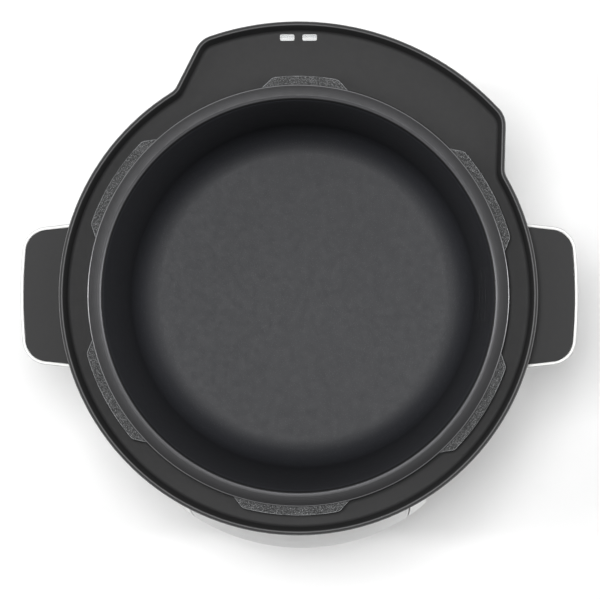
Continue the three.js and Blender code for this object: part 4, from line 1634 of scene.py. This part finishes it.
class COOKER_OT_condensation_cup(bpy.types.Operator):
    """Builds the clear cup that hangs on rails under the bulge"""
    bl_idname = "cooker.condensation_cup"
    bl_label = "Condensation Cup"

    def execute(self, context):
        low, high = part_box("condensation_cup")
        wall = 1.6 * MM
        flange_low, flange_high = 215.8 * MM, 217.8 * MM
        pull_low, pull_high = 186 * MM, 188.5 * MM
        self.plan("condensation_cup_piece", 0)
        piece = prism("condensation_cup_piece", low.z, high.z)
        self.round_edges(low.z, 4 * MM, 2 * MM)
        self.plan("hollow", wall)
        hollow = prism("hollow", low.z + wall, high.z + OVERLAP)
        self.round_edges(low.z + wall, 2.4 * MM, 1.2 * MM)
        flange = rounded_block("flange", (low.x, 138.5 * MM, flange_low), (high.x, 146.5 * MM, flange_high),
                               1.0 * MM, "z")
        pull = rounded_block("pull", (-12 * MM, 149 * MM, pull_low), (12 * MM, high.y, pull_high),
                             1.5 * MM, "z")
        combine(piece, flange, pull, operation="UNION")
        combine(piece, hollow)
        soften(piece, 0.3 * MM, 2, 50)
        done(piece, clear_plastic(), "cup", "condensation_cup")
        return {"FINISHED"}

    def plan(self, name, inset):
        """Draws the cup seen from above: straight in front and at the sides, round at the rear."""
        half = 31 * MM - inset
        front = 137.8 * MM + inset
        radius = 152.6 * MM - inset
        lean = math.asin(half / radius)
        begin(name, (-half, front, 0))
        line((half, front, 0))
        line(polar(radius, REAR - lean))
        arc(ORIGIN, 2 * lean, 16)

    def round_edges(self, low, upright, foot):
        """Rounds the upright corners and then the edge round the floor."""
        choose("EDGE", lambda edge: runs_along("z")(edge) and edge.calc_face_angle(0) > 0.5)
        bevel(upright, 6)
        choose("EDGE", near_z(low))
        bevel(foot, 4)


# ------------------------------------------------------------------ carried-over pieces
class COOKER_OT_inner_works(bpy.types.Operator):
    """Gives the inner pieces that keep the frame's shape their finishes"""
    bl_idname = "cooker.inner_works"
    bl_label = "Inner Works"

    def execute(self, context):
        wears = {
            steel: ("heater_terminal_left", "heater_terminal_right"),
            screw_steel: ("base_screw_1", "base_screw_2", "base_screw_3", "left_handle_screw_1",
                          "left_handle_screw_2", "right_handle_screw_1", "right_handle_screw_2"),
            lead_cover: ("heater_lead_left", "heater_lead_right"),
            component_plastic: ("thermal_fuse", "pressure_switch", "display_module", "power_relay",
                                "power_transformer", "filter_capacitor", "ribbon_cable"),
            circuit_board: ("control_board", "power_board"),
        }
        for make, nodes in wears.items():
            for name in nodes:
                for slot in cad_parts[name].material_slots:
                    slot.material = make()
        return {"FINISHED"}


# ------------------------------------------------------------------ stage
class COOKER_OT_stage(bpy.types.Operator):
    """Lays the pale floor and sets the camera and the soft lights"""
    bl_idname = "cooker.stage"
    bl_label = "Stage"

    def execute(self, context):
        self.floor()
        self.camera()
        self.lights()
        return {"FINISHED"}

    def floor(self):
        object_mode()
        bpy.ops.mesh.primitive_plane_add(size=8, location=(0, 0, 0))
        piece = bpy.context.object
        piece.name = "studio_floor"
        edit(piece)
        choose_all()
        inset(3)
        object_mode()
        piece.data.materials.append(pale_floor())

    def camera(self):
        """A camera over the ring, standing a little to the right of what it looks at."""
        stage = settings("stage")
        object_mode()
        aim = Vector((stage.offset_x, stage.offset_y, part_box("top_ring")[1].z))
        eye = aim + Vector((stage.aside, 0, stage.distance))
        turn = (0, math.atan2(stage.aside, stage.distance), 0)
        bpy.ops.object.camera_add(location=eye, rotation=turn)
        camera = bpy.context.object
        camera.data.sensor_width = 36
        camera.data.lens = camera.data.sensor_width * stage.distance / stage.frame_width
        camera.data.clip_end = 50
        bpy.context.scene.camera = camera

    def lights(self):
        """A small softbox overhead and a long one on each side, over a soft sky."""
        bpy.context.scene.view_settings.view_transform = "Standard"
        self.sky()
        self.softbox("top_softbox", (-0.055, 0.12, 1.6), 0.3, 0.3, 17)
        self.softbox("left_softbox", (-1.6, 0, 1.45), 0.2, 2.2, 16)
        self.softbox("right_softbox", (1.6, 0, 1.45), 0.2, 2.2, 16)

    def sky(self):
        """Soft light from all round, brightest over the rear left and dim towards the front."""
        brightest = Vector((-0.4, 0.7, 0.6)).normalized()
        dim, bright, seen_strength = 0.06, 0.36, 0.17
        world = bpy.data.worlds.new("studio")
        world.use_nodes = True
        bpy.context.scene.world = world
        sky = Nodes(world.node_tree)
        direction = sky.node("ShaderNodeTexCoord").outputs["Generated"]
        towards = sky.node("ShaderNodeVectorMath", {"operation": "DOT_PRODUCT"}, i0=direction, i1=brightest)
        glow = sky.node("ShaderNodeMapRange", {"interpolation_type": "SMOOTHSTEP"},
                        Value=towards.outputs["Value"], From_Min=-0.3, From_Max=1.0,
                        To_Min=dim, To_Max=bright)
        seen = sky.node("ShaderNodeLightPath").outputs["Is Camera Ray"]
        strength = sky.node("ShaderNodeMix", None, Factor=seen, A=glow.outputs["Result"], B=seen_strength)
        background = sky.tree.nodes["Background"]
        sky.feed(background.inputs["Color"], (1, 1, 1))
        sky.feed(background.inputs["Strength"], strength.outputs["Result"])

    def softbox(self, name, place, width, length, power):
        """A soft rectangle of light that looks at the middle of the body."""
        object_mode()
        bpy.ops.object.light_add(type="AREA", location=place)
        light = bpy.context.object
        light.name = name
        light.data.shape = "RECTANGLE"
        light.data.size = width
        light.data.size_y = length
        light.data.energy = power
        target = Vector((0, 0, 0.15))
        light.rotation_euler = (target - Vector(place)).to_track_quat("-Z", "Y").to_euler()


# ------------------------------------------------------------------ add-on
GROUPS = {
    "ring": CookerRing,
    "lugs": CookerLugs,
    "pot": CookerPot,
    "body": CookerBody,
    "handles": CookerHandles,
    "panel": CookerPanel,
    "colours": CookerColours,
    "stage": CookerStage,
}

OPERATORS = (
    COOKER_OT_stage,
    COOKER_OT_top_ring,
    COOKER_OT_lug_ring,
    COOKER_OT_inner_pot,
    COOKER_OT_bowl_and_heater,
    COOKER_OT_outer_shell,
    COOKER_OT_base,
    COOKER_OT_handles,
    COOKER_OT_front_panel,
    COOKER_OT_keys,
    COOKER_OT_power_inlet,
    COOKER_OT_condensation_cup,
    COOKER_OT_inner_works,
)


class COOKER_PT_sidebar(bpy.types.Panel):
    """Lists the settings, and the operators in the order they build the cooker"""
    bl_idname = "COOKER_PT_sidebar"
    bl_label = "Pressure Cooker Base"
    bl_space_type = "VIEW_3D"
    bl_region_type = "UI"
    bl_category = "Cooker"

    def draw(self, context):
        for name, group in GROUPS.items():
            box = self.layout.box()
            box.label(text=name.capitalize())
            for value in group.__annotations__:
                box.prop(settings(name), value)
        for operator in OPERATORS:
            self.layout.operator(operator.bl_idname)


CLASSES = (*GROUPS.values(), *OPERATORS, COOKER_PT_sidebar)


def register():
    for entry in CLASSES:
        bpy.utils.register_class(entry)
    for name, group in GROUPS.items():
        setattr(bpy.types.Scene, f"cooker_{name}", PointerProperty(type=group))


def unregister():
    for name in GROUPS:
        delattr(bpy.types.Scene, f"cooker_{name}")
    for entry in reversed(CLASSES):
        bpy.utils.unregister_class(entry)


def main():
    register()
    for operator in OPERATORS:
        getattr(bpy.ops.cooker, operator.bl_idname.split(".")[1])()
    object_mode()


if __name__ == "__main__":
    main()
